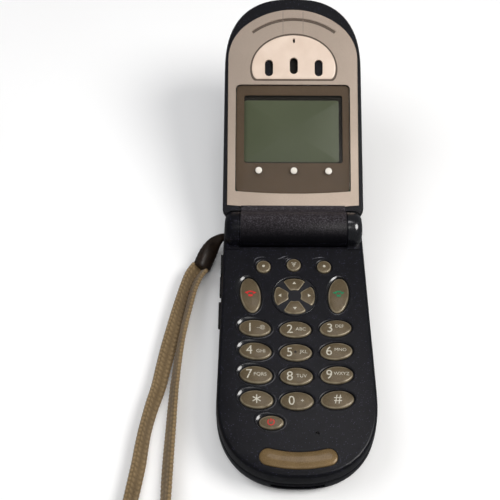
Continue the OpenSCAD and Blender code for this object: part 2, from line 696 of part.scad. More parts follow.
module flip_bezel() {
    color(colour_shell) in_flip() difference() {
        union() {
            difference() {
                intersection() {
                    flip_outer();
                    union() {
                        box(-50, 50, -80, 0.1, 0, flip_seam_z);
                        box(-50, 50, -6.3, 0.1, 0, 30);
                    }
                }
                slab(flip_z - 1, plate_z + plate_t) plate_outline(seat_gap);
                slab(plate_z, flip_seam_z + 1) lens_outline(seat_gap);
                translate([0, ear_y, plate_z]) cylinder(h = 6, r = ear_r + seat_gap, $fn = 64);
                intersection() {
                    slab(plate_z + plate_t + bezel_floor_t, flip_seam_z + 1) offset(delta = -2.4) polygon(flip_outline);
                    box(-50, 50, -80, flip_block_y, 0, 30);
                }
            }
            barrel();
        }
        at_axis() {
            along_x(-bush_in_x, barrel_hw + 1, bore_r);
            along_x(-barrel_hw - 1, 0, bush_r + 0.15);
        }
        // slot that takes the flexible circuit from the barrel into the flip
        box(-4.5, 4.5, flip_block_y - 1, 0, axis_z + 1, axis_z + 1.6);
        for (s = [-1, 1]) translate([s * flip_screw_x, -8, 0]) {
            translate([0, 0, flip_z]) cylinder(h = 5, r = 0.8, $fn = 24);
            translate([0, 0, flip_z]) cylinder(h = 1.85, r = 1.6, $fn = 32);
        }
    }
}

module flip_cover() {
    color(colour_shell) in_flip() difference() {
        intersection() {
            flip_outer();
            box(-50, 50, -80, -6.35, flip_seam_z, 30);
        }
        intersection() {
            union() {
                slab(flip_seam_z - 1, flip_top_z - 3) offset(delta = -2.4) polygon(flip_outline);
                slab(flip_seam_z - 1, flip_top_z - 1.4) offset(delta = -5.6) polygon(flip_outline);
            }
            box(-50, 50, -80, flip_block_y, 0, 30);
        }
        for (s = [-1, 1]) translate([s * flip_screw_x, -8, flip_seam_z - 1]) cylinder(h = 3.4, r = 0.55, $fn = 24);
    }
}

module face_plate() {
    color(colour_plate) in_flip() difference() {
        slab(plate_z, plate_z + plate_t) plate_outline(0);
        slab(plate_z - 1, plate_z + 2) lens_outline(seat_gap);
        slab(plate_z - 1, plate_z + 2) ear_outline(seat_gap);
        slab(plate_z - 1, plate_z + 0.25) intersection() {
            translate([ear_x, ear_foot_y + 2]) difference() {
                circle(r = plate_tip_r - 1.5, $fn = 160);
                circle(r = plate_tip_r - 2.5, $fn = 160);
            }
            translate([ear_x, ear_foot_y + 2]) polygon([[0, 0], [-18, -24], [18, -24]]);
        }
    }
}

module display_lens() { color([0.33, 0.28, 0.22]) in_flip() slab(lens_z, lens_z + lens_t) lens_outline(0); }

module display_frame() {
    color([0.2, 0.2, 0.2]) in_flip() difference() {
        slab(frame_z, frame_z + frame_t) translate([0, display_y]) rounded_rect(glass_w + 2.4, display_len + 5, 0.8);
        slab(frame_z + 0.6, frame_z + frame_t + 1) translate([0, display_y]) square([glass_w + 0.2, display_len + 2.2], center = true);
        slab(frame_z - 1, frame_z + 2) translate([0, display_y]) square([31, 22], center = true);
    }
}

module display_panel() {
    color([0.3, 0.36, 0.27]) in_flip()
        slab(frame_z + 0.6, frame_z + frame_t - 0.1) translate([0, display_y]) square([glass_w, display_len + 2], center = true);
}

module flip_board() {
    color(colour_board) in_flip() slab(flip_board_z, flip_board_z + 0.6) intersection() {
        offset(delta = -3.4) polygon(flip_outline);
        translate([-flip_w, -flip_len + 7.3]) square([2 * flip_w, flip_len - 7.3 + flip_block_y - 0.5]);
    }
}

module earpiece_cover() {
    color([0.85, 0.8, 0.75]) in_flip() difference() {
        slab(lens_z, plate_z + plate_t) ear_outline(0);
        for (x = [-1, 0, 1]) slab(lens_z - 1, plate_z + 2)
            translate([ear_x + x * slot_pitch, ear_foot_y - (x == 0 ? 4.4 : 3.7)]) rounded_rect(2.3, 5, 1.1);
        translate([ear_x, ear_foot_y - 12.6, lens_z - 0.1]) cylinder(h = 0.35, r = 0.4, $fn = 24);
    }
}

module earpiece_speaker() {
    color(colour_black) in_flip() translate([0, ear_y, plate_z + plate_t]) difference() {
        cylinder(h = flip_board_z - plate_z - plate_t, r = ear_r, $fn = 64);
        translate([0, 0, -1]) cylinder(h = 1.5, r = ear_r - 1, $fn = 64);
    }
}

module flex_cable() {
    color([0.75, 0.5, 0.2]) in_flip() union() {
        at_axis() difference() {
            along_x(-4, 4, bore_r - 0.4);
            along_x(-5, 5, bore_r - 0.7);
        }
        box(-4, 4, flip_block_y - 0.8, -bore_r + 0.9, axis_z + 1.15, axis_z + 1.45);
    }
}

module hinge_cam() {
    color(colour_steel) in_flip() at_axis() union() {
        along_x(5, barrel_hw - 0.1, bore_r - 0.05);
        along_x(barrel_hw - 0.1, shaft_end_x - 0.2, shaft_r);
    }
}

module flip_screws() {
    color(colour_steel) in_flip() for (s = [-1, 1]) translate([s * flip_screw_x, -8, plate_z + plate_t + 0.15]) difference() {
        union() {
            cylinder(h = 0.8, r = 1.45, $fn = 32);
            cylinder(h = 4, r = 0.5, $fn = 24);
        }
        translate([0, 0, -1]) cylinder(h = 1.4, r = 0.6, $fn = 6);
    }
}

front_housing();
rear_housing();
battery_cover();
battery_pack();
main_board();
shield_cans();
dome_sheet();
keypad_mat();
nav_ring();
chin_plate();
microphone();
alert_sounder();
vibration_motor();
sim_holder();
accessory_connector();
headset_jack();
antenna();
hinge_bush();
housing_screws();
strap_pin();
strap_sleeve();
wrist_strap();
for (key = oval_keys) oval_key(key);
for (p = pad_names) petal_key(p[1]);
for (k = side_keys) side_push_key(k);
flip_bezel();
flip_cover();
face_plate();
display_lens();
display_panel();
display_frame();
flip_board();
earpiece_cover();
earpiece_speaker();
flex_cable();
hinge_cam();
flip_screws();
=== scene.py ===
import math

import bmesh
import bpy
import numpy as np
from mathutils import Matrix, Vector


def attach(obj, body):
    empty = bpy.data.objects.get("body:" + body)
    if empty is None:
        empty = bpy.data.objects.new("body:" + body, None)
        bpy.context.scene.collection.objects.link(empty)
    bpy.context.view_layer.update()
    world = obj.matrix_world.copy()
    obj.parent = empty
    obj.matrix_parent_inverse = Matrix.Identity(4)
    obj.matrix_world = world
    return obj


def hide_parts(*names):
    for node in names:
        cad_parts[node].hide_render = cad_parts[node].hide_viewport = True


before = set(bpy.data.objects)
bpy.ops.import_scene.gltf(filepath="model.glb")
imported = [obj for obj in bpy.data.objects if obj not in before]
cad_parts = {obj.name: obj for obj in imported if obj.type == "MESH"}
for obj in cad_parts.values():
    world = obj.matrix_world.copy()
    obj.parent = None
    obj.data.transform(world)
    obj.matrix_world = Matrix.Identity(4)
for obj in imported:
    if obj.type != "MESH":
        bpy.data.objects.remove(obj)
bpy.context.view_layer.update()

MM = 0.001

# ---------------------------------------------------------------------------
# The camera: a hand-held snapshot from the keypad's end, 57 degrees above the
# table and a quarter of a metre away, with its slight tilt.

CAMERA_AT = Vector((-11.42, -149.27, 228.81)) * MM
CAMERA_ELEVATION = math.radians(56.7)
CAMERA_AZIMUTH = math.radians(-0.7)
CAMERA_ROLL = math.radians(-0.35)


def new_object(name, data):
    """An object of the scene that shows the given data, unmoved and unturned."""
    thing = bpy.data.objects.new(name, data)
    bpy.context.scene.collection.objects.link(thing)
    return thing


sight = Vector((math.sin(CAMERA_AZIMUTH) * math.cos(CAMERA_ELEVATION),
                math.cos(CAMERA_AZIMUTH) * math.cos(CAMERA_ELEVATION), -math.sin(CAMERA_ELEVATION)))
level = Vector((math.cos(CAMERA_AZIMUTH), -math.sin(CAMERA_AZIMUTH), 0))
upright = level.cross(sight)
right = math.cos(CAMERA_ROLL) * level + math.sin(CAMERA_ROLL) * upright
up = math.cos(CAMERA_ROLL) * upright - math.sin(CAMERA_ROLL) * level
camera_data = bpy.data.cameras.new("snapshot")
camera_data.lens = 61.56
camera_data.sensor_width = 36.0
camera_data.clip_start = 0.01
camera = new_object("snapshot", camera_data)
camera.matrix_world = Matrix((
    (right.x, up.x, -sight.x, CAMERA_AT.x), (right.y, up.y, -sight.y, CAMERA_AT.y),
    (right.z, up.z, -sight.z, CAMERA_AT.z), (0, 0, 0, 1)))
bpy.context.scene.camera = camera

# ---------------------------------------------------------------------------
# The strap: a flat braid 5 mm wide and 1.3 mm thick, woven of tan cotton, 287 mm
# from end to end. Both ends are sewn into the dark tab at the left of the hinge.

STRAP_WIDTH, STRAP_THICK = 5.0, 1.3
STRAP_ROUTE = [  # middle of the braid: x, y, z, and its lean from lying flat in degrees
    (-29.6, -7.4, 2.9, 55), (-31.6, -10.6, 2.7, 58), (-33, -15, 2.5, 58), (-34.8, -23, 2.4, 52),
    (-36, -29.5, 2.4, 42), (-37.2, -36, 2.3, 35), (-38.2, -42, 2.3, 38), (-39.2, -48, 2.4, 46),
    (-40.7, -54, 2.4, 54), (-41.9, -60, 2.4, 58), (-42.6, -65.5, 2.4, 54), (-43.1, -71, 2.4, 50),
    (-44.4, -80, 2.4, 52), (-46, -91, 2.5, 60), (-48.5, -103, 2.6, 70), (-51, -115, 2.7, 80),
    (-52.6, -127, 2.7, 88), (-51.5, -138, 2.7, 90), (-46, -145, 2.7, 90), (-39, -143, 2.7, 90),
    (-35.4, -135, 2.7, 90), (-34, -124, 2.7, 90), (-33.8, -112, 2.7, 86), (-34.4, -100, 2.7, 78),
    (-35, -90, 2.6, 68), (-35.1, -80, 2.5, 58), (-35.1, -71, 2.5, 55), (-34.9, -60, 2.5, 58),
    (-34.6, -48, 2.5, 62), (-33.7, -36, 2.6, 66), (-32.7, -28, 2.6, 66), (-31.7, -22, 2.6, 64),
    (-30.6, -16, 2.6, 62), (-29.2, -11.6, 2.7, 58), (-27.3, -8.6, 2.9, 55)]


def along_route(route, step):
    """A smooth curve through the points: in each span the Catmull-Rom cubic of the four points
    about it, then evened out to one sample every step of length."""
    p = np.array(route, float)
    n = len(p)
    at = np.arange(n - 1)
    a, b, c, d = p[np.maximum(at - 1, 0)], p[at], p[at + 1], p[np.minimum(at + 2, n - 1)]
    t = np.linspace(0, 1, 40, endpoint=False)[None, :, None]
    a, b, c, d = (q[:, None, :] for q in (a, b, c, d))
    dense = 0.5 * (2 * b + (c - a) * t + (2 * a - 5 * b + 4 * c - d) * t ** 2
                   + (3 * b - a - 3 * c + d) * t ** 3)
    dense = np.vstack([dense.reshape(-1, p.shape[1]), p[-1:]])
    run = np.concatenate([[0], np.cumsum(np.linalg.norm(np.diff(dense[:, :3], axis=0), axis=1))])
    even = np.linspace(0, run[-1], max(2, int(round(run[-1] / step)) + 1))
    return np.stack([np.interp(even, run, dense[:, k]) for k in range(p.shape[1])], axis=1), even


def unit(v):
    return v / np.maximum(np.linalg.norm(v, axis=-1, keepdims=True), 1e-12)


def section_axes(path, lean):
    """Across each point of the path, the direction of its breadth and of its thickness: the
    breadth is level, turned about the heading by the lean."""
    heading = unit(np.gradient(path, axis=0))
    flat = unit(np.stack([heading[:, 1], -heading[:, 0], np.zeros(len(path))], axis=1))
    rise = unit(np.cross(flat, heading))
    lean = np.radians(lean)[:, None]
    wide = np.cos(lean) * flat + np.sin(lean) * rise
    return wide, unit(np.cross(wide, heading))


def full_turn(count):
    """Evenly spaced angles round a full turn, starting at 0."""
    return 2 * np.pi * np.arange(count) / count


def oval(count, power):
    """Points round a unit oval whose sides flatten as power grows: each coordinate is the
    cosine or sine raised to two over power, with its sign kept."""
    angle = full_turn(count)
    c, s = np.cos(angle), np.sin(angle)
    return np.sign(c) * np.abs(c) ** (2 / power), np.sign(s) * np.abs(s) ** (2 / power)


def smoothed(mesh, sharp):
    """Smooth shading where faces meet at less than the sharp angle, in degrees."""
    mesh.polygons.foreach_set("use_smooth", [True] * len(mesh.polygons))
    mesh.set_sharp_from_angle(angle=math.radians(sharp))


def surface(name, grid, loop=False, smooth=40):
    """One skin over a grid of points in mm, rows by columns: each row is a closed outline, and
    the last row is joined to the first with loop, or else both end rows are closed flat."""
    grid = np.asarray(grid, float) * MM
    rows, cols = grid.shape[:2]
    i, j = np.meshgrid(np.arange(rows if loop else rows - 1), np.arange(cols), indexing="ij")
    i, j = i.ravel(), j.ravel()
    i2, j2 = (i + 1) % rows, (j + 1) % cols
    faces = np.stack([i * cols + j, i * cols + j2, i2 * cols + j2, i2 * cols + j], axis=1).tolist()
    if not loop:
        faces += [list(range(cols))[::-1], list(range((rows - 1) * cols, rows * cols))]
    mesh = bpy.data.meshes.new(name)
    mesh.from_pydata(grid.reshape(-1, 3).tolist(), [], faces)
    work = bmesh.new()
    work.from_mesh(mesh)
    bmesh.ops.remove_doubles(work, verts=work.verts, dist=1e-7)
    bmesh.ops.recalc_face_normals(work, faces=work.faces)
    work.to_mesh(mesh)
    work.free()
    smoothed(mesh, smooth)
    return new_object(name, mesh)


def mark_points(thing, name, values):
    """A number for each point of a mesh in turn, which the material reads by its name."""
    assert len(thing.data.vertices) == len(values)
    marks = thing.data.attributes.new(name, "FLOAT", "POINT")
    marks.data.foreach_set("value", values.astype(np.float32))


def paint(thing, material):
    thing.data.materials.append(material)


strap_line, strap_run = along_route(STRAP_ROUTE, 0.26)
strap_path, strap_lean = strap_line[:, :3], strap_line[:, 3]
strap_wide, strap_thin = section_axes(strap_path, strap_lean)
around_x, around_y = oval(36, 5)


def braid_height(run, across):
    """Height of the braid's strands, 0 in a furrow and 1 on a strand: herringbone ribs that
    slant to the middle, and a row of round stitches along each selvage."""
    across = np.abs(across)
    ribs = np.abs(np.sin(np.pi * (run / 1.45 + 0.95 * across))) ** 0.7
    stitches = np.abs(np.sin(np.pi * run / 1.15)) ** 0.8
    spine = 1 - 0.75 * np.exp(-(across / 0.07) ** 2)
    edge = 1 / (1 + np.exp(-(across - 0.74) / 0.02))
    furrow = 1 - 0.8 * np.exp(-((across - 0.74) / 0.05) ** 2)
    return (ribs * spine * (1 - edge) + stitches * edge) * furrow


strap_height = braid_height(strap_run[:, None], around_x[None, :])
STRAND_RISE, EDGE_IN, FACE_IN = 0.17, 0.12, 0.16
out_wide = around_x[None, :] * (STRAP_WIDTH / 2 - EDGE_IN)
out_thin = (around_y[None, :] * (STRAP_THICK / 2 - FACE_IN)
            + np.sign(around_y)[None, :] * STRAND_RISE * strap_height)
strap_grid = (strap_path[:, None, :] + strap_wide[:, None, :] * out_wide[:, :, None]
              + strap_thin[:, None, :] * out_thin[:, :, None])
strap = surface("woven_strap", strap_grid, smooth=80)
mark_points(strap, "strand", strap_height.ravel())


def linear(r, g, b):
    """A colour as the eye reads it, 0 to 255, turned into light: the usual 2.4 power curve."""
    v = np.array([r, g, b]) / 255.0
    v = np.where(v <= 0.04045, v / 12.92, ((v + 0.055) / 1.055) ** 2.4)
    return (float(v[0]), float(v[1]), float(v[2]), 1.0)


def new_material(name):
    """An empty node material, its surface shader, and the socket that says where a point lies
    in the object's own space. The other helpers find the node tree from a socket."""
    material = bpy.data.materials.new(name)
    material.use_nodes = True
    nodes = material.node_tree.nodes
    nodes.clear()
    shader = nodes.new("ShaderNodeBsdfPrincipled")
    material.node_tree.links.new(shader.outputs[0], nodes.new("ShaderNodeOutputMaterial").inputs[0])
    return material, shader, nodes.new("ShaderNodeTexCoord").outputs["Object"]


def wire(made, inputs):
    """Sets a node's inputs: a number or colour is its value, and a socket is linked to it."""
    for key, value in inputs.items():
        if isinstance(value, bpy.types.NodeSocket):
            made.id_data.links.new(value, made.inputs[key])
        else:
            made.inputs[key].default_value = value


def node(near, kind, inputs, **settings):
    """One more node in the tree that the near socket belongs to."""
    made = near.id_data.nodes.new(kind)
    for key, value in settings.items():
        setattr(made, key, value)
    wire(made, inputs)
    return made


def noise(place, scale, detail, roughness=0.5):
    """Cloudy noise from 0 to 1, with so many cells to the metre."""
    return node(place, "ShaderNodeTexNoise", {"Vector": place, "Scale": scale, "Detail": detail,
                                              "Roughness": roughness}).outputs["Fac"]


def marked(place, name):
    """The number that mark_points gave the points under this name."""
    return node(place, "ShaderNodeAttribute", {}, attribute_name=name).outputs["Fac"]


def ramp(value, stops):
    """A colour ramp through (place, colour) stops."""
    made = node(value, "ShaderNodeValToRGB", {"Fac": value})
    elements = made.color_ramp.elements
    while len(elements) < len(stops):
        elements.new(0.5)
    for element, (place, colour) in zip(elements, stops):
        element.position = place
        element.color = colour
    return made.outputs["Color"]


def tint(value, low, dark, high, light):
    """From the dark colour where the value is low to the light one where it is high."""
    return ramp(value, [(low, linear(*dark)), (high, linear(*light))])


def mixed(share, a, b, how="MIX"):
    """The share of colour b over colour a."""
    made = node(a, "ShaderNodeMix", {}, data_type="RGBA", blend_type=how)
    wire(made, {0: share, 6: a, 7: b})
    return made.outputs[2]


def bumped(height, distance, strength):
    """A relief this deep, in metres."""
    return node(height, "ShaderNodeBump", {"Height": height, "Distance": distance,
                                           "Strength": strength}).outputs[0]


def between(value, low, high):
    """The value from 0 to 1 as a number from low to high."""
    return node(value, "ShaderNodeMapRange", {"Value": value, "To Min": low, "To Max": high}).outputs[0]


cotton, shader, place = new_material("braided_cotton")
strand = marked(place, "strand")
fibres = noise(place, 2600, 5, 0.7)
patches = noise(place, 90, 3)
# The colour follows the strand height: painted shade darkens the furrows between strands and a painted
# highlight lightens the strand tops.
tan = ramp(strand, [(0.0, linear(58, 45, 28)), (0.45, linear(112, 92, 64)), (1.0, linear(156, 133, 98))])
tan = mixed(0.35, tan, tint(fibres, 0.3, (78, 62, 40), 0.75, (172, 150, 114)))
tan = mixed(0.25, tan, tint(patches, 0.35, (88, 70, 46), 0.7, (138, 116, 82)))
wire(shader, {"Base Color": tan, "Roughness": 0.85, "Specular IOR Level": 0.2, "Sheen Weight": 0.25,
              "Sheen Roughness": 0.5, "Normal": bumped(fibres, 0.0001, 0.6)})
paint(strap, cotton)
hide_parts("wrist_strap")
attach(strap, "handset")

# ---------------------------------------------------------------------------
# The strap's tab: a dark brown moulded sleeve that grips both ends of the braid
# and narrows to a tongue, which turns about a steel pin in the housing's side.

TAB_ROUTE = [  # x, y, z, lean, breadth, thickness
    (-19.2, 2.8, 4.6, 0, 2.3, 1.5), (-21.6, 2.8, 4.6, 2, 2.4, 1.6), (-23, 2.1, 4.6, 10, 3, 2.1),
    (-24.9, 0, 4.3, 28, 4.6, 3.1), (-26.6, -3.4, 3.8, 45, 5.4, 4), (-28.45, -8, 2.95, 55, 5.4, 4.3)]
tab_line, tab_run = along_route(TAB_ROUTE, 0.3)
tab_wide, tab_thin = section_axes(tab_line[:, :3], tab_line[:, 3])
tab_x, tab_y = oval(40, 3.2)
tab_end = np.minimum(1, 0.86 + 0.14 * np.sqrt(np.clip((tab_run[-1] - tab_run) / 0.9, 0, 1)))
tab_rib = 1 + 0.02 * np.sin(2 * np.pi * tab_run / 1.6) * (tab_run > 7)
half_wide, half_thin = tab_line[:, 4] / 2 * tab_end * tab_rib, tab_line[:, 5] / 2 * tab_end
tab_grid = (tab_line[:, None, :3] + tab_wide[:, None, :] * tab_x[None, :, None] * half_wide[:, None, None]
            + tab_thin[:, None, :] * tab_y[None, :, None] * half_thin[:, None, None])
tab = surface("strap_tab", tab_grid, smooth=50)
hide, shader, place = new_material("dark_brown_tab")
grain = noise(place, 1500, 4)
wire(shader, {"Base Color": tint(grain, 0.3, (20, 13, 9), 0.7, (42, 30, 20)), "Roughness": 0.5,
              "Normal": bumped(grain, 0.0001, 0.5)})
paint(tab, hide)
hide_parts("strap_sleeve")
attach(tab, "handset")

# ---------------------------------------------------------------------------
# The table and the light: a white sheet of card, a window at the right, soft
# light from the left and from above, and two ceiling lamps that draw glints.

FLOOR_HALF = 1.5
card = bpy.data.meshes.new("table")
card.from_pydata([(x * FLOOR_HALF, y * FLOOR_HALF, 0) for x, y in ((-1, -1), (1, -1), (1, 1), (-1, 1))],
                 [], [(0, 1, 2, 3)])
table = new_object("table", card)
table.location.z = -0.0002
paper, shader, place = new_material("white_card")
fibre = noise(place, 12, 2)
wire(shader, {"Base Color": ramp(fibre, [(0.3, (0.95, 0.945, 0.94, 1)), (0.7, (0.98, 0.98, 0.975, 1))]),
              "Roughness": 0.9, "Specular IOR Level": 0.1})
card.materials.append(paper)
table.visible_glossy = False


def soft_light(name, place, aim, size, watts, colour=(1, 1, 1), glints=True):
    """A round soft lamp that aims at a point, and shows in reflections only with glints."""
    data = bpy.data.lights.new(name, "AREA")
    data.shape = "DISK"
    data.size = size
    data.energy = watts
    data.color = colour
    lamp = new_object(name, data)
    lamp.location = place
    lamp.rotation_euler = (Vector(aim) - Vector(place)).to_track_quat("-Z", "Y").to_euler()
    lamp.visible_glossy = glints


soft_light("window", (0.36, -0.09, 0.47), (0, -0.02, 0), 0.3, 2.2, (1, 0.985, 0.965))
soft_light("fill", (-0.5, 0.1, 0.6), (0, 0, 0), 0.6, 2.5, (0.97, 0.98, 1), glints=False)
soft_light("overhead", (0.0, -0.35, 0.9), (0, 0, 0), 0.8, 2.25, glints=False)
soft_light("ceiling_far", (0.092, 0.251, 0.84), (0, -0.06, 0), 0.2, 0.36, (1, 0.97, 1))
soft_light("ceiling_near", (0.045, -0.28, 0.867), (0, 0.02, 0.02), 0.28, 0.28, (1, 0.98, 0.96))
world = bpy.data.worlds.new("room")
world.use_nodes = True
wire(world.node_tree.nodes["Background"], {"Color": (0.95, 0.97, 1, 1), "Strength": 0.14})
bpy.context.scene.world = world
bpy.context.scene.view_settings.view_transform = "Standard"

# ---------------------------------------------------------------------------
# The shells: dark blue-black moulded plastic with a spark-eroded grain and fine
# metal flecks. Front and rear housing meet at a seam and are held by screws.

FACE_Z = 12.0


def shell_of(cad_node, name):
    """The solid's own skin with its loose triangles joined: smooth where faces meet at less
    than 36 degrees, with the large faces ruling the shading."""
    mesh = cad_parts[cad_node].data.copy()
    mesh.name = name
    for old in [a.name for a in mesh.attributes if a.name == "custom_normal"]:
        mesh.attributes.remove(mesh.attributes[old])
    work = bmesh.new()
    work.from_mesh(mesh)
    bmesh.ops.remove_doubles(work, verts=work.verts, dist=3e-6)
    work.to_mesh(mesh)
    work.free()
    mesh.materials.clear()
    smoothed(mesh, 36)
    thing = new_object(name, mesh)
    weigh = thing.modifiers.new("weigh", "WEIGHTED_NORMAL")
    weigh.keep_sharp = True
    weigh.weight = 90
    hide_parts(cad_node)
    return thing


shell_paint, shader, place = new_material("speckled_shell")
broad = noise(place, 260, 4)
grit = noise(place, 3600, 3, 0.6)
flecks = node(place, "ShaderNodeTexVoronoi", {"Vector": place, "Scale": 2600.0, "Randomness": 1.0})
colour = tint(broad, 0.3, (9, 9, 13), 0.7, (14, 14, 19))
fleck = ramp(flecks.outputs["Distance"], [(0.1, (1, 1, 1, 1)), (0.34, (0.0, 0.0, 0.0, 1))])
pick = ramp(flecks.outputs["Color"], [(0.6, (0, 0, 0, 1)), (0.8, (1, 1, 1, 1))])
share = mixed(1.0, fleck, pick, "MULTIPLY")
colour = mixed(share, colour, linear(72, 70, 92))
wire(shader, {"Base Color": colour, "Specular IOR Level": 0.28, "Roughness": between(grit, 0.27, 0.37),
              "Normal": bumped(grit, 0.00004, 0.5)})

for cad_node, name, body in (
        ("front_housing", "front_shell", "handset"), ("rear_housing", "rear_shell", "handset"),
        ("battery_cover", "battery_door", "battery_cover"), ("flip_bezel", "flip_inner_shell", "flip"),
        ("flip_cover", "flip_outer_shell", "flip")):
    shell = shell_of(cad_node, name)
    paint(shell, shell_paint)
    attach(shell, body)

# ---------------------------------------------------------------------------
# The hinge: the flip's barrel and the strip beside it are one moulding, with a
# small hollow fillet between them. The strip is painted paler and the right
# knuckle brighter than the shell, to match the light on them in the photograph.

OPEN_ANGLE, AXIS_Z, FLIP_Z = math.radians(-154.0), 13.0, 12.7
BARREL_R, WRAP_HALF = 5.54, 15.95


def on_flip(x, t, depth):
    """A point of the open flip from its place on the closed one: x across, t from the hinge
    axis towards the tip, depth into the flip from its rim, turned about the axis."""
    x, t, depth = np.broadcast_arrays(np.asarray(x, float), t, depth)
    y, z = -t, FLIP_Z + depth - AXIS_Z
    return np.stack([x, y * math.cos(OPEN_ANGLE) - z * math.sin(OPEN_ANGLE),
                     y * math.sin(OPEN_ANGLE) + z * math.cos(OPEN_ANGLE) + AXIS_Z], axis=-1)


fillet = np.array([(7.45, 0.01), (7.0, 0.03), (6.5, 0.06), (6.15, 0.17), (5.88, 0.36), (5.66, 0.72),
                   (BARREL_R, 1.15)])
PALE_END, PALE_FADE, WRAP_THICK, WRAP_EDGE = 122, 62, 0.2, 0.05
wrap_angle = np.radians(np.arange(24, 150, 4.5))
wrap_t = np.concatenate([fillet[:, 0], BARREL_R * np.cos(wrap_angle)])
wrap_h = np.concatenate([fillet[:, 1], BARREL_R * np.sin(wrap_angle) - (AXIS_Z - FLIP_Z)])
# Painted highlight: the fillet and the upper side of the barrel get a paler tone, which fades round the barrel
# into the dark tone, standing for the light on the side that faces up.
wrap_painted_light = np.clip((PALE_END - np.degrees(wrap_angle)) / PALE_FADE, 0, 1)
wrap_painted_light = np.concatenate([np.ones(len(fillet)), wrap_painted_light])
under_t, under_h = wrap_t[::-1] * 0.96, wrap_h[::-1] * 0.96 - WRAP_THICK
rows = []
for x in (-WRAP_HALF, -WRAP_HALF + WRAP_EDGE, WRAP_HALF - WRAP_EDGE, WRAP_HALF):
    low = 0.04 if abs(x) == WRAP_HALF else 0.0
    rows.append(np.vstack([on_flip(x, wrap_t * (1 - low / 6), -(wrap_h - low)),
                           on_flip(x, under_t, -under_h)]))
wrap = surface("hinge_strip", rows)
mark_points(wrap, "painted_light", np.tile(np.concatenate([wrap_painted_light, wrap_painted_light[::-1]]), len(rows)))
wrap_paint, shader, place = new_material("hinge_shell")
grit = noise(place, 3000, 3, 0.7)
dark_tone = tint(grit, 0.35, (7, 7, 10), 0.65, (14, 13, 17))
painted_light_tone = ramp(grit, [(0.35, linear(26, 23, 26)), (0.52, linear(44, 40, 42)), (0.68, linear(92, 88, 94))])
wire(shader, {"Base Color": mixed(marked(place, "painted_light"), dark_tone, painted_light_tone), "Specular IOR Level": 0.14,
              "Roughness": 0.45, "Normal": bumped(grit, 0.00006, 0.6)})
paint(wrap, wrap_paint)
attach(wrap, "flip")

polish, shader, place = new_material("polished_shell")
scuffs = noise(place, 2400, 3)
wire(shader, {"Base Color": tint(scuffs, 0.3, (9, 9, 12), 0.7, (16, 16, 21)),
              "Roughness": between(scuffs, 0.16, 0.3), "Coat Weight": marked(place, "rubbed_and_glint"),
              "Coat Roughness": 0.12})

KNUCKLE = [(5.5, 0.02), (5.5, 2.1), (5.36, 2.95), (5, 3.65), (4.45, 4.25), (3.7, 4.65), (2.6, 4.9), (1.2, 5)]
KNUCKLE_ROOT, KNUCKLE_SHARE, SKIN = 16.37, 0.93, 0.03
turn = full_turn(96)
rows = [np.stack([np.full(96, KNUCKLE_ROOT + KNUCKLE_SHARE * x), (r + SKIN) * np.cos(turn),
                  AXIS_Z + (r + SKIN) * np.sin(turn)], axis=1) for r, x in KNUCKLE]
knuckle = surface("right_knuckle", rows, smooth=50)
mark_points(knuckle, "rubbed_and_glint", np.ones(96 * len(KNUCKLE)))
paint(knuckle, polish)
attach(knuckle, "handset")

# ---------------------------------------------------------------------------
# The dished rims round the keys: scoops moulded into the face, a little wider
# than each key, that guide the finger and catch the light at their upper edge.

SOFT_D, CALL_W, CALL_H, KEY_W, KEY_H = 4.2, 5.9, 11.8, 9.1, 5.2
ROW_Y, ROW_PITCH, MIDDLE_DROP, COLUMN_LEAN = -33.55, 7.3, 0.42, 5.5
ROW_X = [11.54, 11.4, 11.2, 11.0]
NUMBER_NAMES = [["key_1", "key_2", "key_3"], ["key_4", "key_5", "key_6"], ["key_7", "key_8", "key_9"],
                ["key_star", "key_0", "key_hash"]]
KEYS = {"left_soft_key": (-9.05, -12.8, SOFT_D, SOFT_D, 0), "menu_key": (0, -12.2, SOFT_D, SOFT_D, 0),
        "right_soft_key": (9.05, -12.8, SOFT_D, SOFT_D, 0), "end_key": (-12.9, -22.5, CALL_W, CALL_H, 8),
        "send_key": (12.9, -22.5, CALL_W, CALL_H, -8), "power_key": (-7.05, -62.1, 6.6, 3.8, 0)}
for row, names in enumerate(NUMBER_NAMES):
    for column, name in enumerate(names):
        drop = MIDDLE_DROP if column == 1 else 0
        KEYS[name] = ((column - 1) * ROW_X[row], ROW_Y - row * ROW_PITCH - drop, KEY_W, KEY_H,
                      (column - 1) * COLUMN_LEAN)


def cos_sin(degrees):
    return math.cos(math.radians(degrees)), math.sin(math.radians(degrees))


def rings_round(key, offsets, heights, count=72):
    """Ovals round a key, one for each offset outwards from its edge, at its own height above
    the table: an ellipse of the key's half sizes plus the offset, turned by the key's lean."""
    x, y, w, h, lean = key
    angle = full_turn(count)
    offsets, heights = (np.asarray(q, float).reshape(len(q), -1) for q in (offsets, heights))
    a, b = (w / 2 + offsets) * np.cos(angle), (h / 2 + offsets) * np.sin(angle)
    c, s = cos_sin(lean)
    return np.stack([x + a * c - b * s, y + a * s + b * c, np.broadcast_to(heights, a.shape)], axis=2)


TO_UPPER_LEFT = np.clip(np.cos(full_turn(72) - 0.77 * np.pi), 0, 1) ** 3


def scoop_rings(swell):
    """Offsets and heights of a scoop's rings: towards the upper left its lip moves out and up
    with a power of the angle's cosine, and from the lip a wall of 27 degrees falls to the key."""
    away = swell * TO_UPPER_LEFT
    still = np.ones(72)
    lip, foot = 0.52 + away, -0.115 - 0.3 * away
    top = foot + (lip - 0.24) * 0.51
    out = np.maximum(lip + 0.13 + 1.3 * away, 0.88)
    rings = [(out + 0.01, -0.3 * still), (out, 0.003 * still), (lip + 0.12 + 0.4 * away, 0.55 * top),
             (lip + 0.04, top), (lip - 0.03, top - 0.02),
             (lip * 0.5 + 0.12, foot + (lip * 0.5 - 0.12) * 0.51), (0.25 * still, foot + 0.005),
             (0.2 * still, foot - 0.05), (0.16 * still, foot - 0.25), (0.16 * still, -still),
             (0.4 * still, -still)]
    return [g for g, z in rings], [FACE_Z + z for g, z in rings]


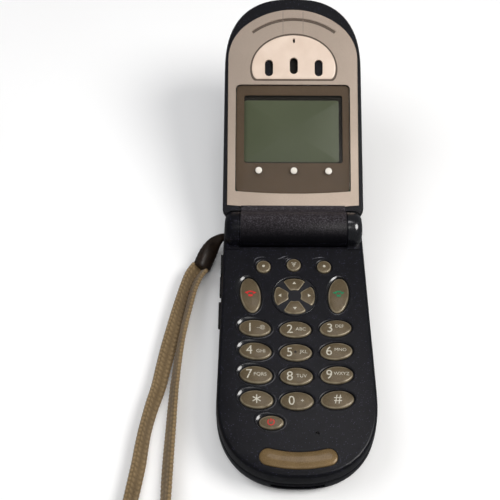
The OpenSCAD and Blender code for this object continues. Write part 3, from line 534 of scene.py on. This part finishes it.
for name, key in KEYS.items():
    left_column = key[0] < -5 and key[3] > SOFT_D
    swell = 0.62 if left_column or name == "power_key" else 0.4 if name == "send_key" else 0.1
    scoop = surface("scoop_" + name, rings_round(key, *scoop_rings(swell)), loop=True, smooth=60)
    mark_points(scoop, "rubbed_and_glint", np.tile(TO_UPPER_LEFT, 11))
    paint(scoop, polish if swell > 0.2 else shell_paint)
    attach(scoop, "handset")

# Painted highlights: thin ridges beside the soft keys, coloured light grey to stand for the glints along the
# dish rims there.
ridge_highlight_paint, shader, place = new_material("painted_highlight_ridge")
rubbed_and_glint = noise(place, 1800, 3)
wire(shader, {"Base Color": tint(rubbed_and_glint, 0.35, (34, 34, 38), 0.65, (92, 92, 98)), "Roughness": 0.3})
RIDGE_SQUASH = 0.4
RIDGES = [[(-12.0, -11.4, 12), (-11.3, -9.9, 12), (-9.4, -9.35, 12), (-8.3, -9.6, 12)],
          [(-5.2, -10.15, 12), (-4.0, -9.8, 12), (-3.1, -9.3, 12), (-1.5, -8.85, 12)],
          [(-3.2, -9.9, 12), (-2.4, -10.0, 12), (-1.6, -9.5, 12)],
          [(5.5, -10.0, 12), (7.0, -9.6, 12), (8.4, -9.45, 12), (9.4, -9.6, 12)]]
for index, route in enumerate(RIDGES):
    path = along_route(route, 0.2)[0]
    way = unit(np.gradient(path, axis=0))
    side = np.stack([-way[:, 1], way[:, 0], 0 * way[:, 0]], axis=1)
    slim = (0.02 + 0.15 * np.sin(np.linspace(0, np.pi, len(path))))[:, None, None]
    turn = full_turn(12)[None, :, None]
    grid = (path[:, None, :] + side[:, None, :] * np.cos(turn) * slim
            + np.array([0, 0, 1.0]) * np.sin(turn) * slim * RIDGE_SQUASH)
    ridge = surface("worn_ridge_%d" % (index + 1), grid, smooth=60)
    paint(ridge, ridge_highlight_paint)
    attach(ridge, "handset")

# ---------------------------------------------------------------------------
# The key caps: hard plastic, painted olive-taupe with a metallic haze, crowned,
# and with a painted highlight that lightens the rim. Each stands on its own dome and presses straight in.

KEY_TOP = FACE_Z + 0.4
key_paint, shader, place = new_material("taupe_key_paint")
haze = noise(place, 420, 4)
flakes = noise(place, 5200, 2)
colour = tint(haze, 0.3, (84, 71, 51), 0.7, (100, 86, 63))
colour = mixed(0.3, colour, tint(flakes, 0.35, (62, 53, 39), 0.7, (136, 121, 95)))
edge = marked(place, "edge")
# Painted highlight: towards the rim, where the bevel catches the light, the colour is mixed with a light taupe,
# broken up by the haze.
rim_highlight = ramp(node(place, "ShaderNodeMath", {0: edge, 1: haze}, operation="MULTIPLY").outputs[0],
            [(0.2, (0, 0, 0, 1)), (0.55, (0.75, 0.75, 0.75, 1))])
colour = mixed(rim_highlight, colour, linear(158, 146, 122))
wire(shader, {"Base Color": colour, "Metallic": 0.25, "Roughness": between(haze, 0.3, 0.45),
              "Coat Weight": 0.15, "Coat Roughness": 0.2, "Normal": bumped(flakes, 0.00002, 0.4)})


def crown(x, y, ball=26.0):
    """Height of a key's top about its middle: the cap of a ball of this radius in mm."""
    return -(x ** 2 + y ** 2) / (2 * ball)


def mark_edge(cap, depths, count=72):
    """Marks a cap's rim with 1, fading to 0 at 0.7 mm inside it, for points ring by ring."""
    mark_points(cap, "edge", np.repeat(np.clip(1.35 - depths / 0.5, 0, 1), count))


CAP_FOOT = 10.5
CAP_EDGE = [(0.0, -0.62), (0.0, -0.42), (-0.05, -0.28), (-0.14, -0.17), (-0.28, -0.1), (-0.45, -0.06)]
for name, key in KEYS.items():
    x, y, w, h, lean = key
    short = min(w, h) / 2
    inner = np.linspace(-0.45, -(short - 0.02), 8)[1:]
    offsets = [0.0, 0.0] + [g for g, z in CAP_EDGE] + inner.tolist()
    drops = [-1.7, -1.0] + [z for g, z in CAP_EDGE] + [-0.06 * (1 - (g - 0.45) / short) * 0.6 for g in -inner]
    grid = rings_round(key, offsets, [0] * len(offsets))
    grid[:, :, 2] = KEY_TOP + np.array(drops)[:, None] + crown(grid[:, :, 0] - x, grid[:, :, 1] - y)
    grid[0, :, 2] = CAP_FOOT
    cap = surface("cap_" + name, grid, smooth=50)
    mark_edge(cap, -np.array(offsets))
    paint(cap, key_paint)
    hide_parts(name)
    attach(cap, name)

# ---------------------------------------------------------------------------
# The marks on the keys: pad-printed light grey numbers and letters, red and
# green handset signs, and the pip on the five that a finger finds.


def print_ink(name, light, dark):
    """Thin pad-printed ink, a little uneven."""
    material, shader, place = new_material(name)
    uneven = noise(place, 2500, 3)
    wire(shader, {"Base Color": tint(uneven, 0.3, dark, 0.6, light), "Roughness": 0.5})
    return material


grey_ink = print_ink("grey_print", (196, 191, 176), (162, 156, 140))
red_ink = print_ink("red_print", (205, 38, 38), (160, 30, 30))
green_ink = print_ink("green_print", (16, 128, 84), (10, 92, 62))
INK_THICK = 0.03


def on_key(flat, key_name, dx, dy):
    """Lays flat outlines on a key's crown, moved from its middle by dx and dy."""
    x, y = KEYS[key_name][:2]
    px, py = flat[:, 0] + dx, flat[:, 1] + dy
    return np.stack([px + x, py + y, KEY_TOP + 0.012 + crown(px, py) + flat[:, 2]], axis=1)


def points_of(mesh):
    """The mesh's points as rows of x, y and z."""
    points = np.empty(len(mesh.vertices) * 3)
    mesh.vertices.foreach_get("co", points)
    return points.reshape(-1, 3)


def evaluated(thing):
    """The mesh that an object makes with its curves or modifiers worked out."""
    return bpy.data.meshes.new_from_object(thing.evaluated_get(bpy.context.evaluated_depsgraph_get()))


def lettering(words, height, stretch=1.0):
    """The outlines of a few letters as a flat mesh in mm, centred, with the given cap height."""
    curve = bpy.data.curves.new("letters", "FONT")
    curve.body = words
    curve.align_x, curve.align_y = "CENTER", "CENTER"
    curve.size = height / 0.72
    curve.resolution_u = 3
    curve.extrude = INK_THICK / 2
    thing = new_object("letters", curve)
    flat = evaluated(thing)
    points = points_of(flat) * [stretch, 1, 1]
    faces = [list(p.vertices) for p in flat.polygons]
    bpy.data.objects.remove(thing)
    bpy.data.meshes.remove(flat)
    points[:, :2] -= (points[:, :2].max(axis=0) + points[:, :2].min(axis=0)) / 2
    return points, faces


def printed(name, points, faces, material, body):
    """A piece of ink with its own points in mm and faces, which moves with the body."""
    mesh = bpy.data.meshes.new(name)
    mesh.from_pydata((points * MM).tolist(), [], faces)
    mesh.materials.append(material)
    thing = new_object(name, mesh)
    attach(thing, body)


MARKS = {  # key: (letters, cap height, dx, dy), ...
    "key_1": (("1", 2.8, -1.45, 0.1), ("_", 1.5, 1.0, -0.1), ("@", 1.1, 2.1, 0.1)),
    "key_2": (("2", 2.8, -1.6, 0.05), ("ABC", 1.05, 1.5, 0.0)),
    "key_3": (("3", 2.8, -1.7, 0.0), ("DEF", 1.0, 1.1, 0.55)),
    "key_4": (("4", 2.8, -1.75, 0.3), ("GHI", 1.05, 1.5, -0.1)),
    "key_5": (("5", 2.8, -1.8, 0.0), ("JKL", 1.05, 2.1, 0.0)),
    "key_6": (("6", 2.8, -2.1, 0.0), ("MNO", 1.0, 1.15, 0.4)),
    "key_7": (("7", 2.8, -1.9, 0.2), ("PQRS", 1.05, 1.15, 0.0)),
    "key_8": (("8", 2.8, -1.85, 0.0), ("TUV", 1.05, 1.4, 0.0)),
    "key_9": (("9", 2.8, -2.15, 0.1), ("WXYZ", 1.0, 1.25, 0.35)),
    "key_0": (("0", 2.7, -1.5, 0.0), ("+", 1.3, 1.4, 0.0)),
    "key_hash": (("#", 2.6, 0.1, 0.0),)}
for key_name, marks in MARKS.items():
    all_points, all_faces = [], []
    for words, height, dx, dy in marks:
        points, faces = lettering(words, height, 1.05 if len(words) > 1 else 1.0)
        start = sum(len(p) for p in all_points)
        all_points.append(on_key(points, key_name, dx, dy))
        all_faces += [[i + start for i in f] for f in faces]
    printed("print_" + key_name, np.vstack(all_points), all_faces, grey_ink, key_name)


def ribbon(name, middle, half_width, key_name, material, dx=0, dy=0):
    """A printed stroke: a band along a flat line, closed on both sides, of one half width or
    one for each point, on a key's crown."""
    middle = np.asarray(middle, float)
    half = np.broadcast_to(half_width, len(middle))[:, None]
    way = unit(np.gradient(middle, axis=0))
    side = np.stack([-way[:, 1], way[:, 0]], axis=1)
    rows = np.stack([np.hstack([middle + s * side * half, np.full((len(middle), 1), z * INK_THICK / 2)])
                     for s, z in ((1, 1), (-1, 1), (-1, -1), (1, -1))], axis=1)
    made = surface(name, on_key(rows.reshape(-1, 3), key_name, dx, dy).reshape(rows.shape), smooth=30)
    paint(made, material)
    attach(made, key_name)


def dot(radius):
    """A round spot as a stroke: points along it and their half widths."""
    line = np.linspace((-radius, 0), (radius, 0), 9)
    return line, np.sqrt(np.clip(radius ** 2 - line[:, 0] ** 2, 0.0001, None))


swing = np.linspace(-1.25, 1.25, 25)
handset_line = np.stack([1.25 * np.sin(swing), 1.0 * np.cos(swing) - 0.35], axis=1)
handset_half = 0.22 + 0.34 * np.clip((np.abs(swing) - 0.8) / 0.3, 0, 1)
for key_name, ink in (("end_key", red_ink), ("send_key", green_ink)):
    ribbon("sign_" + key_name, handset_line, handset_half, key_name, ink, dy=0.25)
    ribbon("sign_base_" + key_name, np.linspace((-0.62, -0.72), (0.62, -0.72), 8), 0.34, key_name, ink, dy=0.25)
turn = np.linspace(math.radians(125), math.radians(415), 31)
power_ring = np.stack([0.85 * np.cos(turn), 0.85 * np.sin(turn)], axis=1)
ribbon("sign_power_ring", power_ring, 0.14, "power_key", red_ink, dx=-0.1)
ribbon("sign_power_bar", np.linspace((0, 0.1), (0, 1.0), 6), 0.14, "power_key", red_ink, dx=-0.1)
for index, angle in enumerate((90, 30, -30)):
    reach = 1.25 * np.array(cos_sin(angle))
    ribbon("print_star_%d" % index, np.linspace(-reach, reach, 9), 0.16, "key_star", grey_ink)
for key_name in ("left_soft_key", "right_soft_key"):
    ribbon("print_dot_" + key_name, *dot(0.42), key_name, grey_ink)
for index, (width, height) in enumerate(((0.75, 0.62), (0.5, 0.1), (0.25, -0.42))):
    chevron = [[-width, height], [0, height - 0.28], [width, height]]
    ribbon("print_menu_%d" % index, chevron, 0.09, "menu_key", grey_ink)
ribbon("pip_key_5", *dot(0.36), "key_5", print_ink("dark_pip", (40, 34, 26), (28, 24, 18)), dx=-0.15)

# ---------------------------------------------------------------------------
# The direction pad: a black moulded ring with crossed ribs, fixed in the face,
# and four painted petals between the ribs, each on its own dome.

PAD_Y = -22.9
PETAL_IN, PETAL_OUT, PETAL_HALF = 1.9, 6.05, 35.0
PETALS = {"nav_up": 0, "nav_left": 90, "nav_down": 180, "nav_right": 270}
ring_paint, shader, place = new_material("black_pad_ring")
fine = noise(place, 2800, 3)
wire(shader, {"Base Color": tint(fine, 0.3, (14, 14, 17), 0.7, (24, 24, 29)), "Roughness": 0.32,
              "Normal": bumped(fine, 0.00002, 0.3)})
ring = shell_of("nav_ring", "pad_ring")
paint(ring, ring_paint)
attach(ring, "handset")
turn = full_turn(96)
BEAD = [(6.35, -0.3), (6.4, 0.1), (6.48, 0.2), (6.6, 0.24), (6.72, 0.2), (6.8, 0.08), (6.84, -0.3)]
bead_grid = np.stack([np.stack([r * np.cos(turn), PAD_Y + r * np.sin(turn), np.full(96, FACE_Z + z)], axis=1)
                      for r, z in BEAD])
bead = surface("pad_rim", bead_grid, loop=True, smooth=60)
mark_points(bead, "rubbed_and_glint", np.tile(0.7 * np.clip(np.cos(turn - 0.75 * np.pi), 0, 1), len(BEAD)))
paint(bead, polish)
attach(bead, "handset")


def petal_rings(turned, shrink, count=72):
    """Outlines of a petal drawn in towards its middle: a ring sector whose corners are rounded
    by a flattened oval, each outline smaller by its own shrink, then turned to its place."""
    px, py = oval(count, 7)
    c, s = cos_sin(turned)
    rows = []
    for inset in shrink:
        middle = (PETAL_IN + PETAL_OUT) / 2
        half_long = (PETAL_OUT - PETAL_IN) / 2 - inset
        far = middle + py * max(half_long, 0.01)
        half_angle = np.radians(PETAL_HALF) - inset / np.maximum(far, 0.8)
        spread = px * np.maximum(half_angle, 0.002)
        x, y = far * np.sin(spread), far * np.cos(spread)
        rows.append(np.stack([x * c - y * s, x * s + y * c, np.zeros(count)], axis=1))
    return np.stack(rows)


PETAL_BALL, PETAL_RISE, ARROW_RISE = 55.0, 0.05, 0.07
ARROW_FACES = [[0, 2, 1], [3, 4, 5], [0, 1, 4, 3], [1, 2, 5, 4], [2, 0, 3, 5]]
shrink = np.array([0, 0, 0, 0.06, 0.16, 0.3, 0.5, 0.8, 1.2, 1.6, 1.95])
drops = np.array([-1.7, -0.7, -0.36, -0.22, -0.13, -0.08, -0.05, -0.03, -0.01, 0, 0])
for name, turned in PETALS.items():
    grid = petal_rings(turned, shrink)
    grid[:, :, 2] = KEY_TOP + PETAL_RISE + drops[:, None] + crown(grid[:, :, 0], grid[:, :, 1], PETAL_BALL)
    grid[0, :, 2] = CAP_FOOT
    grid[:, :, 1] += PAD_Y
    petal = surface("petal_" + name, grid, smooth=50)
    mark_edge(petal, shrink)
    paint(petal, key_paint)
    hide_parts(name)
    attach(petal, name)
    c, s = cos_sin(turned)
    tip = np.array([[-0.55, 3.9], [0.0, 4.75], [0.55, 3.9]]) @ np.array([[c, s], [-s, c]])
    top = KEY_TOP + ARROW_RISE + crown(tip[:, 0], tip[:, 1], PETAL_BALL)
    corners = np.hstack([tip + [0, PAD_Y], top[:, None]])
    solid = np.vstack([corners, corners - [0, 0, 0.06]])
    printed("arrow_" + name, solid, ARROW_FACES, grey_ink, name)

# ---------------------------------------------------------------------------
# The chin plate: a crowned smile of champagne lacquer under a clear coat, glued
# into its own recess. It carries nothing.

CHIN_Y, CHIN_BOW, CHIN_HALF, CHIN_SPAN = -77.5, 32.0, 2.3, 8.09
champagne, shader, place = new_material("champagne_lacquer")
streak = noise(place, 300, 5)
flakes = noise(place, 4200, 2)
colour = tint(streak, 0.3, (100, 80, 50), 0.7, (122, 99, 66))
colour = mixed(0.25, colour, tint(flakes, 0.35, (80, 62, 38), 0.7, (160, 138, 102)))
wire(shader, {"Base Color": colour, "Metallic": 0.3, "Specular IOR Level": 0.2, "Roughness": 0.4,
              "Coat Weight": 0.25, "Coat Roughness": 0.08, "Normal": bumped(flakes, 0.00001, 0.3)})


def smile(insets, heights, count=96):
    """Outlines of the smile drawn in by each inset: a band of equal half width along an arc,
    with half-round ends, at the given heights."""
    t = full_turn(count)
    rows = []
    for inset, height in zip(insets, heights):
        half = CHIN_HALF - inset
        along = np.clip(np.cos(t) * (CHIN_SPAN + half), -CHIN_SPAN, CHIN_SPAN)
        reach = np.cos(t) * (CHIN_SPAN + half) - along
        across = np.sign(np.sin(t)) * np.sqrt(np.clip(half ** 2 - reach ** 2, 0, None))
        phi = (along + reach) / CHIN_BOW
        radius = CHIN_BOW - across
        rows.append(np.stack([radius * np.sin(phi), CHIN_Y + 4.9 + CHIN_BOW - radius * np.cos(phi),
                              np.full(count, height)], axis=1))
    return np.stack(rows)


chin_in = [0, 0, 0.05, 0.15, 0.35, 0.7, 1.1, 1.6, 2.0, 2.25]
chin_up = [-0.45, 0.0, 0.12, 0.2, 0.28, 0.36, 0.41, 0.44, 0.45, 0.45]
chin = surface("chin_smile", smile(chin_in, [FACE_Z + z for z in chin_up]), smooth=50)
paint(chin, champagne)
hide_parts("chin_plate")
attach(chin, "handset")
trim_in, trim_up = [-0.12, -0.28, -0.4, -0.4, -0.12], [0.03, 0.05, 0.02, -0.2, -0.2]
trim = surface("chin_recess_rim", smile(trim_in, [FACE_Z + z for z in trim_up]), loop=True, smooth=60)
paint(trim, shell_paint)
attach(trim, "handset")

# ---------------------------------------------------------------------------
# The side keys: three soft dark bars along the left edge, nearly flush with the
# wall that they stand in, so the solids' proud part is pressed flatter.

BAR_PROUD, BAR_SHARE = 1.0, 0.3
rubber, shader, place = new_material("side_key_rubber")
matt = noise(place, 2200, 4)
wire(shader, {"Base Color": tint(matt, 0.3, (22, 21, 22), 0.7, (36, 34, 35)), "Roughness": 0.6,
              "Normal": bumped(matt, 0.00004, 0.5)})
for name in ("volume_up_key", "volume_down_key", "side_key"):
    bar = shell_of(name, "bar_" + name)
    spots = points_of(bar.data)
    wall_x = spots[:, 0].min() + BAR_PROUD * MM
    spots[:, 0] = np.where(spots[:, 0] < wall_x, wall_x + (spots[:, 0] - wall_x) * BAR_SHARE, spots[:, 0])
    bar.data.vertices.foreach_set("co", spots.ravel())
    paint(bar, rubber)
    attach(bar, name)

# ---------------------------------------------------------------------------
# The flip's face plate: thin aluminium with a champagne satin lacquer, stuck in
# a shallow bed in the bezel, with a pressed arc near its tip.

plate_paint, shader, place = new_material("champagne_satin")
wide = noise(place, 60, 3)
satin = noise(place, 5000, 2)
colour = tint(wide, 0.3, (196, 178, 162), 0.7, (208, 190, 174))
colour = mixed(0.22, colour, tint(satin, 0.35, (164, 147, 133), 0.7, (220, 204, 189)))
wire(shader, {"Base Color": colour, "Metallic": 0.74, "Roughness": between(satin, 0.29, 0.38),
              "Normal": bumped(satin, 0.00002, 0.35)})
plate = shell_of("face_plate", "champagne_plate")
paint(plate, plate_paint)
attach(plate, "flip")

# This dark brown is the print in the arc groove, and also the painted shadow round the half-moon further down.
groove_print_and_shade = print_ink("groove_brown", (92, 78, 66), (70, 58, 48))
sweep = np.linspace(math.radians(-37), math.radians(37), 60)
ARC_X, ARC_T, ARC_IN, ARC_OUT = 0.3, 45.6, 21.32, 22.1
grid = [on_flip(ARC_X + radius * np.sin(sweep), ARC_T + radius * np.cos(sweep), depth)
        for radius, depth in ((ARC_IN, 0.36), (ARC_IN, 0.46), (ARC_OUT, 0.46), (ARC_OUT, 0.36))]
groove = surface("arc_groove", np.stack(grid, axis=1))
paint(groove, groove_print_and_shade)
faint = print_ink("faint_line", (150, 134, 121), (128, 113, 101))
for index, x in enumerate((-3.09, 3.25)):
    rows = [on_flip([x - w, x + w, x + w, x - w], t, [0.19, 0.19, 0.25, 0.25])
            for t, w in ((62.0, 0.05), (66.0, 0.08), (69.9, 0.08))]
    line = surface("plate_line_%d" % (index + 1), rows, smooth=30)
    paint(line, faint)
    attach(line, "flip")
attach(groove, "flip")

# ---------------------------------------------------------------------------
# The earpiece cover: an ivory moulded half-moon, crowned, with three sound
# slots over black felt and a small dimple. It snaps into the plate.

EAR_X, EAR_T, EAR_A = 0.3, 47.6, 13.3
EAR_SIDE, EAR_ARCH, EAR_CORNER, EAR_MID = 3.6, 11, 1.7, 7.3


def half_moon(insets, depths, count=120):
    """Outlines of the half-moon drawn in by each inset: half an ellipse over a flat foot with
    round corners, shrunk about a middle point and set at its own depth."""
    i = np.linspace(0, np.pi, count)
    top_x, top_t = -EAR_A * np.cos(i), EAR_SIDE + EAR_ARCH * np.sin(i)
    corner = np.linspace(0, np.pi / 2, 12)[1:]
    foot = EAR_A - EAR_CORNER
    right_x, right_t = foot + EAR_CORNER * np.cos(corner), EAR_SIDE * (1 - np.sin(corner))
    left_x, left_t = -foot - EAR_CORNER * np.sin(corner), EAR_SIDE * (1 - np.cos(corner))
    x = np.concatenate([top_x, right_x, np.linspace(foot, -foot, 30)[1:], left_x[:-1]])
    t = np.concatenate([top_t, right_t, np.zeros(29), left_t[:-1]])
    return np.stack([on_flip(EAR_X + x * (EAR_A - inset) / EAR_A,
                             EAR_T + EAR_MID + (t - EAR_MID) * (EAR_MID - inset) / EAR_MID, depth)
                     for inset, depth in zip(insets, depths)])


ear_in = [0.12, 0.12, 0.15, 0.25, 0.45, 0.8, 1.4, 2.4, 3.6, 5.0, 6.2, 7.1]
ear_deep = [0.8, 0.3, 0.2, 0.12, 0.05, 0.0, -0.04, -0.08, -0.1, -0.115, -0.12, -0.12]
moon = surface("ivory_half_moon", half_moon(ear_in, ear_deep), smooth=50)
ivory, shader, place = new_material("ivory_moulding")
cloud = noise(place, 180, 3)
wire(shader, {"Base Color": tint(cloud, 0.3, (216, 194, 176), 0.7, (226, 206, 189)), "Roughness": 0.35,
              "Coat Weight": 0.3, "Coat Roughness": 0.15})
paint(moon, ivory)
SLOT_R, SLOT_STRAIGHT = 1.28, 1.4
around = full_turn(40)
holes = [(x + SLOT_R * np.cos(around), t + SLOT_R * np.sin(around) + np.sign(np.sin(around)) * SLOT_STRAIGHT)
         for x, t in ((-7.5, 51.3), (0.3, 52.0), (8.1, 51.3))]
around = full_turn(24)
holes.append((0.35 + 0.36 * np.cos(around), 60.2 + 0.8 * np.sin(around)))
cutters = [surface("slot_cutter", [on_flip(x, t, depth) for depth in (-1.5, 2.0)], smooth=30)
           for x, t in holes]
for cutter in cutters:
    cut = moon.modifiers.new("cut", "BOOLEAN")
    cut.operation, cut.solver, cut.object = "DIFFERENCE", "EXACT", cutter
bpy.context.view_layer.update()
carved = evaluated(moon)
moon.modifiers.clear()
moon.data = carved
for cutter in cutters:
    bpy.data.objects.remove(cutter)
smoothed(carved, 45)
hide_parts("earpiece_cover")
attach(moon, "flip")
# Painted shadow: a dark brown ring in the gap round the half-moon, where its edge shades the plate.
moon_shadow_ring = surface("half_moon_shadow_ring", half_moon([-0.42, -0.42, 0.14, 0.14], [0.3, 0.17, 0.17, 0.3]), loop=True)
paint(moon_shadow_ring, groove_print_and_shade)
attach(moon_shadow_ring, "flip")

# ---------------------------------------------------------------------------
# The display: a clear window with a brown-grey border printed on its back, the
# grey-green liquid crystal glass in a black frame behind it, and three small
# white buffers on the border that meet the handset when the flip shuts.

LENS_HALF, LENS_T0, LENS_T1, LENS_BOW = 17.75, 11.3, 45.9, 0.7
WINDOW = (-15.2, 15.5, 21.0, 42.7)
LCD = (-15.2, 14.4, 21.5, 41.3)


def soft_rectangle(x0, x1, t0, t1, corner, bow=0.0, count=160):
    """Points round a rectangle with rounded corners, starting at its middle right: corner is
    the radius, and bow pushes the middle of the foot towards the hinge."""
    t = 2 * np.pi * (np.arange(count) + 0.5) / count
    c, s = np.cos(t), np.sin(t)
    k = 1 / np.maximum(np.abs(c), np.abs(s))
    px, pt = c * k, s * k
    hx, ht = (x1 - x0) / 2, (t1 - t0) / 2
    x, y = px * hx, pt * ht
    inner_x, inner_y = np.clip(x, -(hx - corner), hx - corner), np.clip(y, -(ht - corner), ht - corner)
    dx, dy = x - inner_x, y - inner_y
    far = np.maximum(np.hypot(dx, dy), 1e-9)
    outside = (np.abs(dx) > 1e-9) & (np.abs(dy) > 1e-9)
    scale = np.where(outside, corner / far, 1.0)
    x, y = inner_x + dx * scale, inner_y + dy * scale
    y = y - np.where(y < 0, bow * (1 - (x / hx) ** 2) * (-y / ht), 0)
    return (x0 + x1) / 2 + x, (t0 + t1) / 2 + y


rows = []
for inset, depth in ((0.0, 0.9), (0.0, 0.3), (0.05, 0.16), (0.15, 0.09), (0.35, 0.05), (3, 0.03), (8, 0.02),
                     (16, 0.02)):
    inset_t = min(inset, 15.8)
    ring = soft_rectangle(-LENS_HALF + inset, LENS_HALF - inset, LENS_T0 + LENS_BOW + inset_t,
                          LENS_T1 - inset_t, max(1.4 - inset, 0.2), LENS_BOW)
    rows.append(on_flip(*ring, depth))
window = surface("clear_window", rows, smooth=50)
clear, shader, place = new_material("clear_window")
smears = noise(place, 70, 4)
wire(shader, {"Roughness": between(smears, 0.06, 0.16), "Base Color": (0.02, 0.018, 0.014, 1),
              "Specular IOR Level": 0.5, "Alpha": 0.14})
paint(window, clear)
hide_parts("display_lens")
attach(window, "flip")

outer = soft_rectangle(-LENS_HALF + 0.08, LENS_HALF - 0.08, LENS_T0 + 0.78, LENS_T1 - 0.08, 1.3, LENS_BOW)
inner = soft_rectangle(*WINDOW, 0.5)
rows = [on_flip(*ring, depth) for ring, depth in ((inner, 0.95), (inner, 1.05), (outer, 1.05), (outer, 0.95))]
border = surface("window_border", rows, loop=True, smooth=30)
brown, shader, place = new_material("border_print")
speckle = noise(place, 3300, 3)
drift = noise(place, 50, 2)
colour = tint(speckle, 0.35, (90, 70, 50), 0.65, (110, 88, 64))
colour = mixed(0.3, colour, tint(drift, 0.35, (82, 65, 47), 0.7, (110, 88, 65)))
wire(shader, {"Base Color": colour, "Roughness": 0.5})
paint(border, brown)
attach(border, "flip")

wall, wide_wall = (soft_rectangle(*(np.array(WINDOW) + grow * np.array([-1, 1, -1, 1])), 0.5)
                   for grow in (0.1, 0.3))
rows = [on_flip(*ring, depth) for ring, depth in ((wall, 1.1), (wall, 1.8), (wide_wall, 1.8), (wide_wall, 1.1))]
tunnel = surface("window_walls", rows, loop=True, smooth=30)
dark_frame, shader, place = new_material("black_frame")
matt = noise(place, 2000, 3)
wire(shader, {"Base Color": tint(matt, 0.3, (6, 5, 3), 0.7, (12, 10, 6)), "Roughness": 0.6})
paint(tunnel, dark_frame)
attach(tunnel, "flip")

lcd_top = (LCD[0] + 0.1, LCD[1] - 0.1, LCD[2] + 0.1, LCD[3] - 0.1)
rows = [on_flip(*soft_rectangle(*box, 0.15), depth)
        for box, depth in ((LCD, 1.84), (LCD, 1.8), (lcd_top, 1.77), ((-1, 0, 31, 32), 1.77))]
crystal = surface("liquid_crystal", rows, smooth=30)
green, shader, place = new_material("grey_green_crystal")
drift = noise(place, 45, 2)
dots = noise(place, 2600, 1)
colour = tint(drift, 0.3, (85, 93, 66), 0.7, (95, 103, 75))
colour = mixed(0.2, colour, tint(dots, 0.4, (80, 89, 64), 0.65, (108, 116, 90)))
wire(shader, {"Base Color": colour, "Roughness": 0.4})
paint(crystal, green)
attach(crystal, "flip")

buffer_white, shader, place = new_material("white_buffer")
soil = noise(place, 900, 3)
wire(shader, {"Base Color": tint(soil, 0.3, (214, 206, 194), 0.7, (236, 230, 220)), "Roughness": 0.5})
around = full_turn(48)
BUFFER = ((1.02, 0.2), (1.04, -0.02), (1.0, -0.1), (0.88, -0.16), (0.6, -0.19), (0.3, -0.2), (0.02, -0.2))
for index, (x, t) in enumerate(((-10.6, 18.5), (0.3, 18.4), (11.0, 18.3))):
    rows = [on_flip(x + r * np.cos(around), t + r * np.sin(around), depth) for r, depth in BUFFER]
    stud = surface("buffer_%d" % (index + 1), rows, smooth=50)
    paint(stud, buffer_white)
    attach(stud, "flip")

# ---------------------------------------------------------------------------
# The inner and hidden pieces keep the solids' own skins: tinned cans, green
# boards, a wrapped cell, black mouldings, steel shafts and screws.


def plain_finish(name, dark, light, grain, rough_low, rough_high, metal=0.0, relief=0.00003):
    """A finish from two tones over a fine noise, with its roughness and relief from the same."""
    material, shader, place = new_material(name)
    fine = noise(place, 1000 / grain, 4)
    wire(shader, {"Base Color": tint(fine, 0.32, dark, 0.68, light), "Metallic": metal,
                  "Roughness": between(fine, rough_low, rough_high), "Normal": bumped(fine, relief, 0.4)})
    return material


FINISHES = {  # name: the pieces that have it, then its tones, grain, roughness, metal and relief
    "tinned_sheet": ("shield_cans microphone sim_holder",
        (150, 150, 152), (186, 186, 188), 0.9, 0.25, 0.4, 1.0),
    "plain_steel": ("vibration_motor hinge_bush housing_screws strap_pin hinge_cam",
        (118, 118, 122), (160, 160, 164), 0.5, 0.25, 0.4, 1.0),
    "green_laminate": ("main_board flip_board", (18, 66, 44), (28, 92, 60), 0.6, 0.35, 0.5),
    "milky_silicone": ("keypad_mat", (140, 138, 128), (166, 164, 152), 0.8, 0.5, 0.65),
    "dome_film": ("dome_sheet", (176, 174, 160), (206, 204, 190), 1.2, 0.25, 0.4),
    "cell_wrap": ("battery_pack", (34, 34, 40), (48, 48, 56), 1.4, 0.3, 0.45),
    "black_moulding": ("alert_sounder accessory_connector headset_jack flip_screws",
        (20, 20, 22), (34, 34, 36), 0.5, 0.45, 0.6),
    "copper_foil": ("antenna flex_cable", (150, 96, 52), (192, 132, 78), 0.7, 0.25, 0.4, 0.9),
    "black_felt": ("earpiece_speaker", (10, 9, 8), (20, 18, 16), 0.3, 0.9, 1.0, 0.0, 0.0001),
    "dark_glass": ("display_panel", (22, 18, 13), (30, 26, 20), 2.0, 0.2, 0.3)}
finish_of = {"display_frame": dark_frame}
for name, (cad_nodes, *look) in FINISHES.items():
    finish_of.update(dict.fromkeys(cad_nodes.split(), plain_finish(name, *look)))
for cad_node, finish in finish_of.items():
    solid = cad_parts[cad_node]
    solid.data.materials.clear()
    paint(solid, finish)
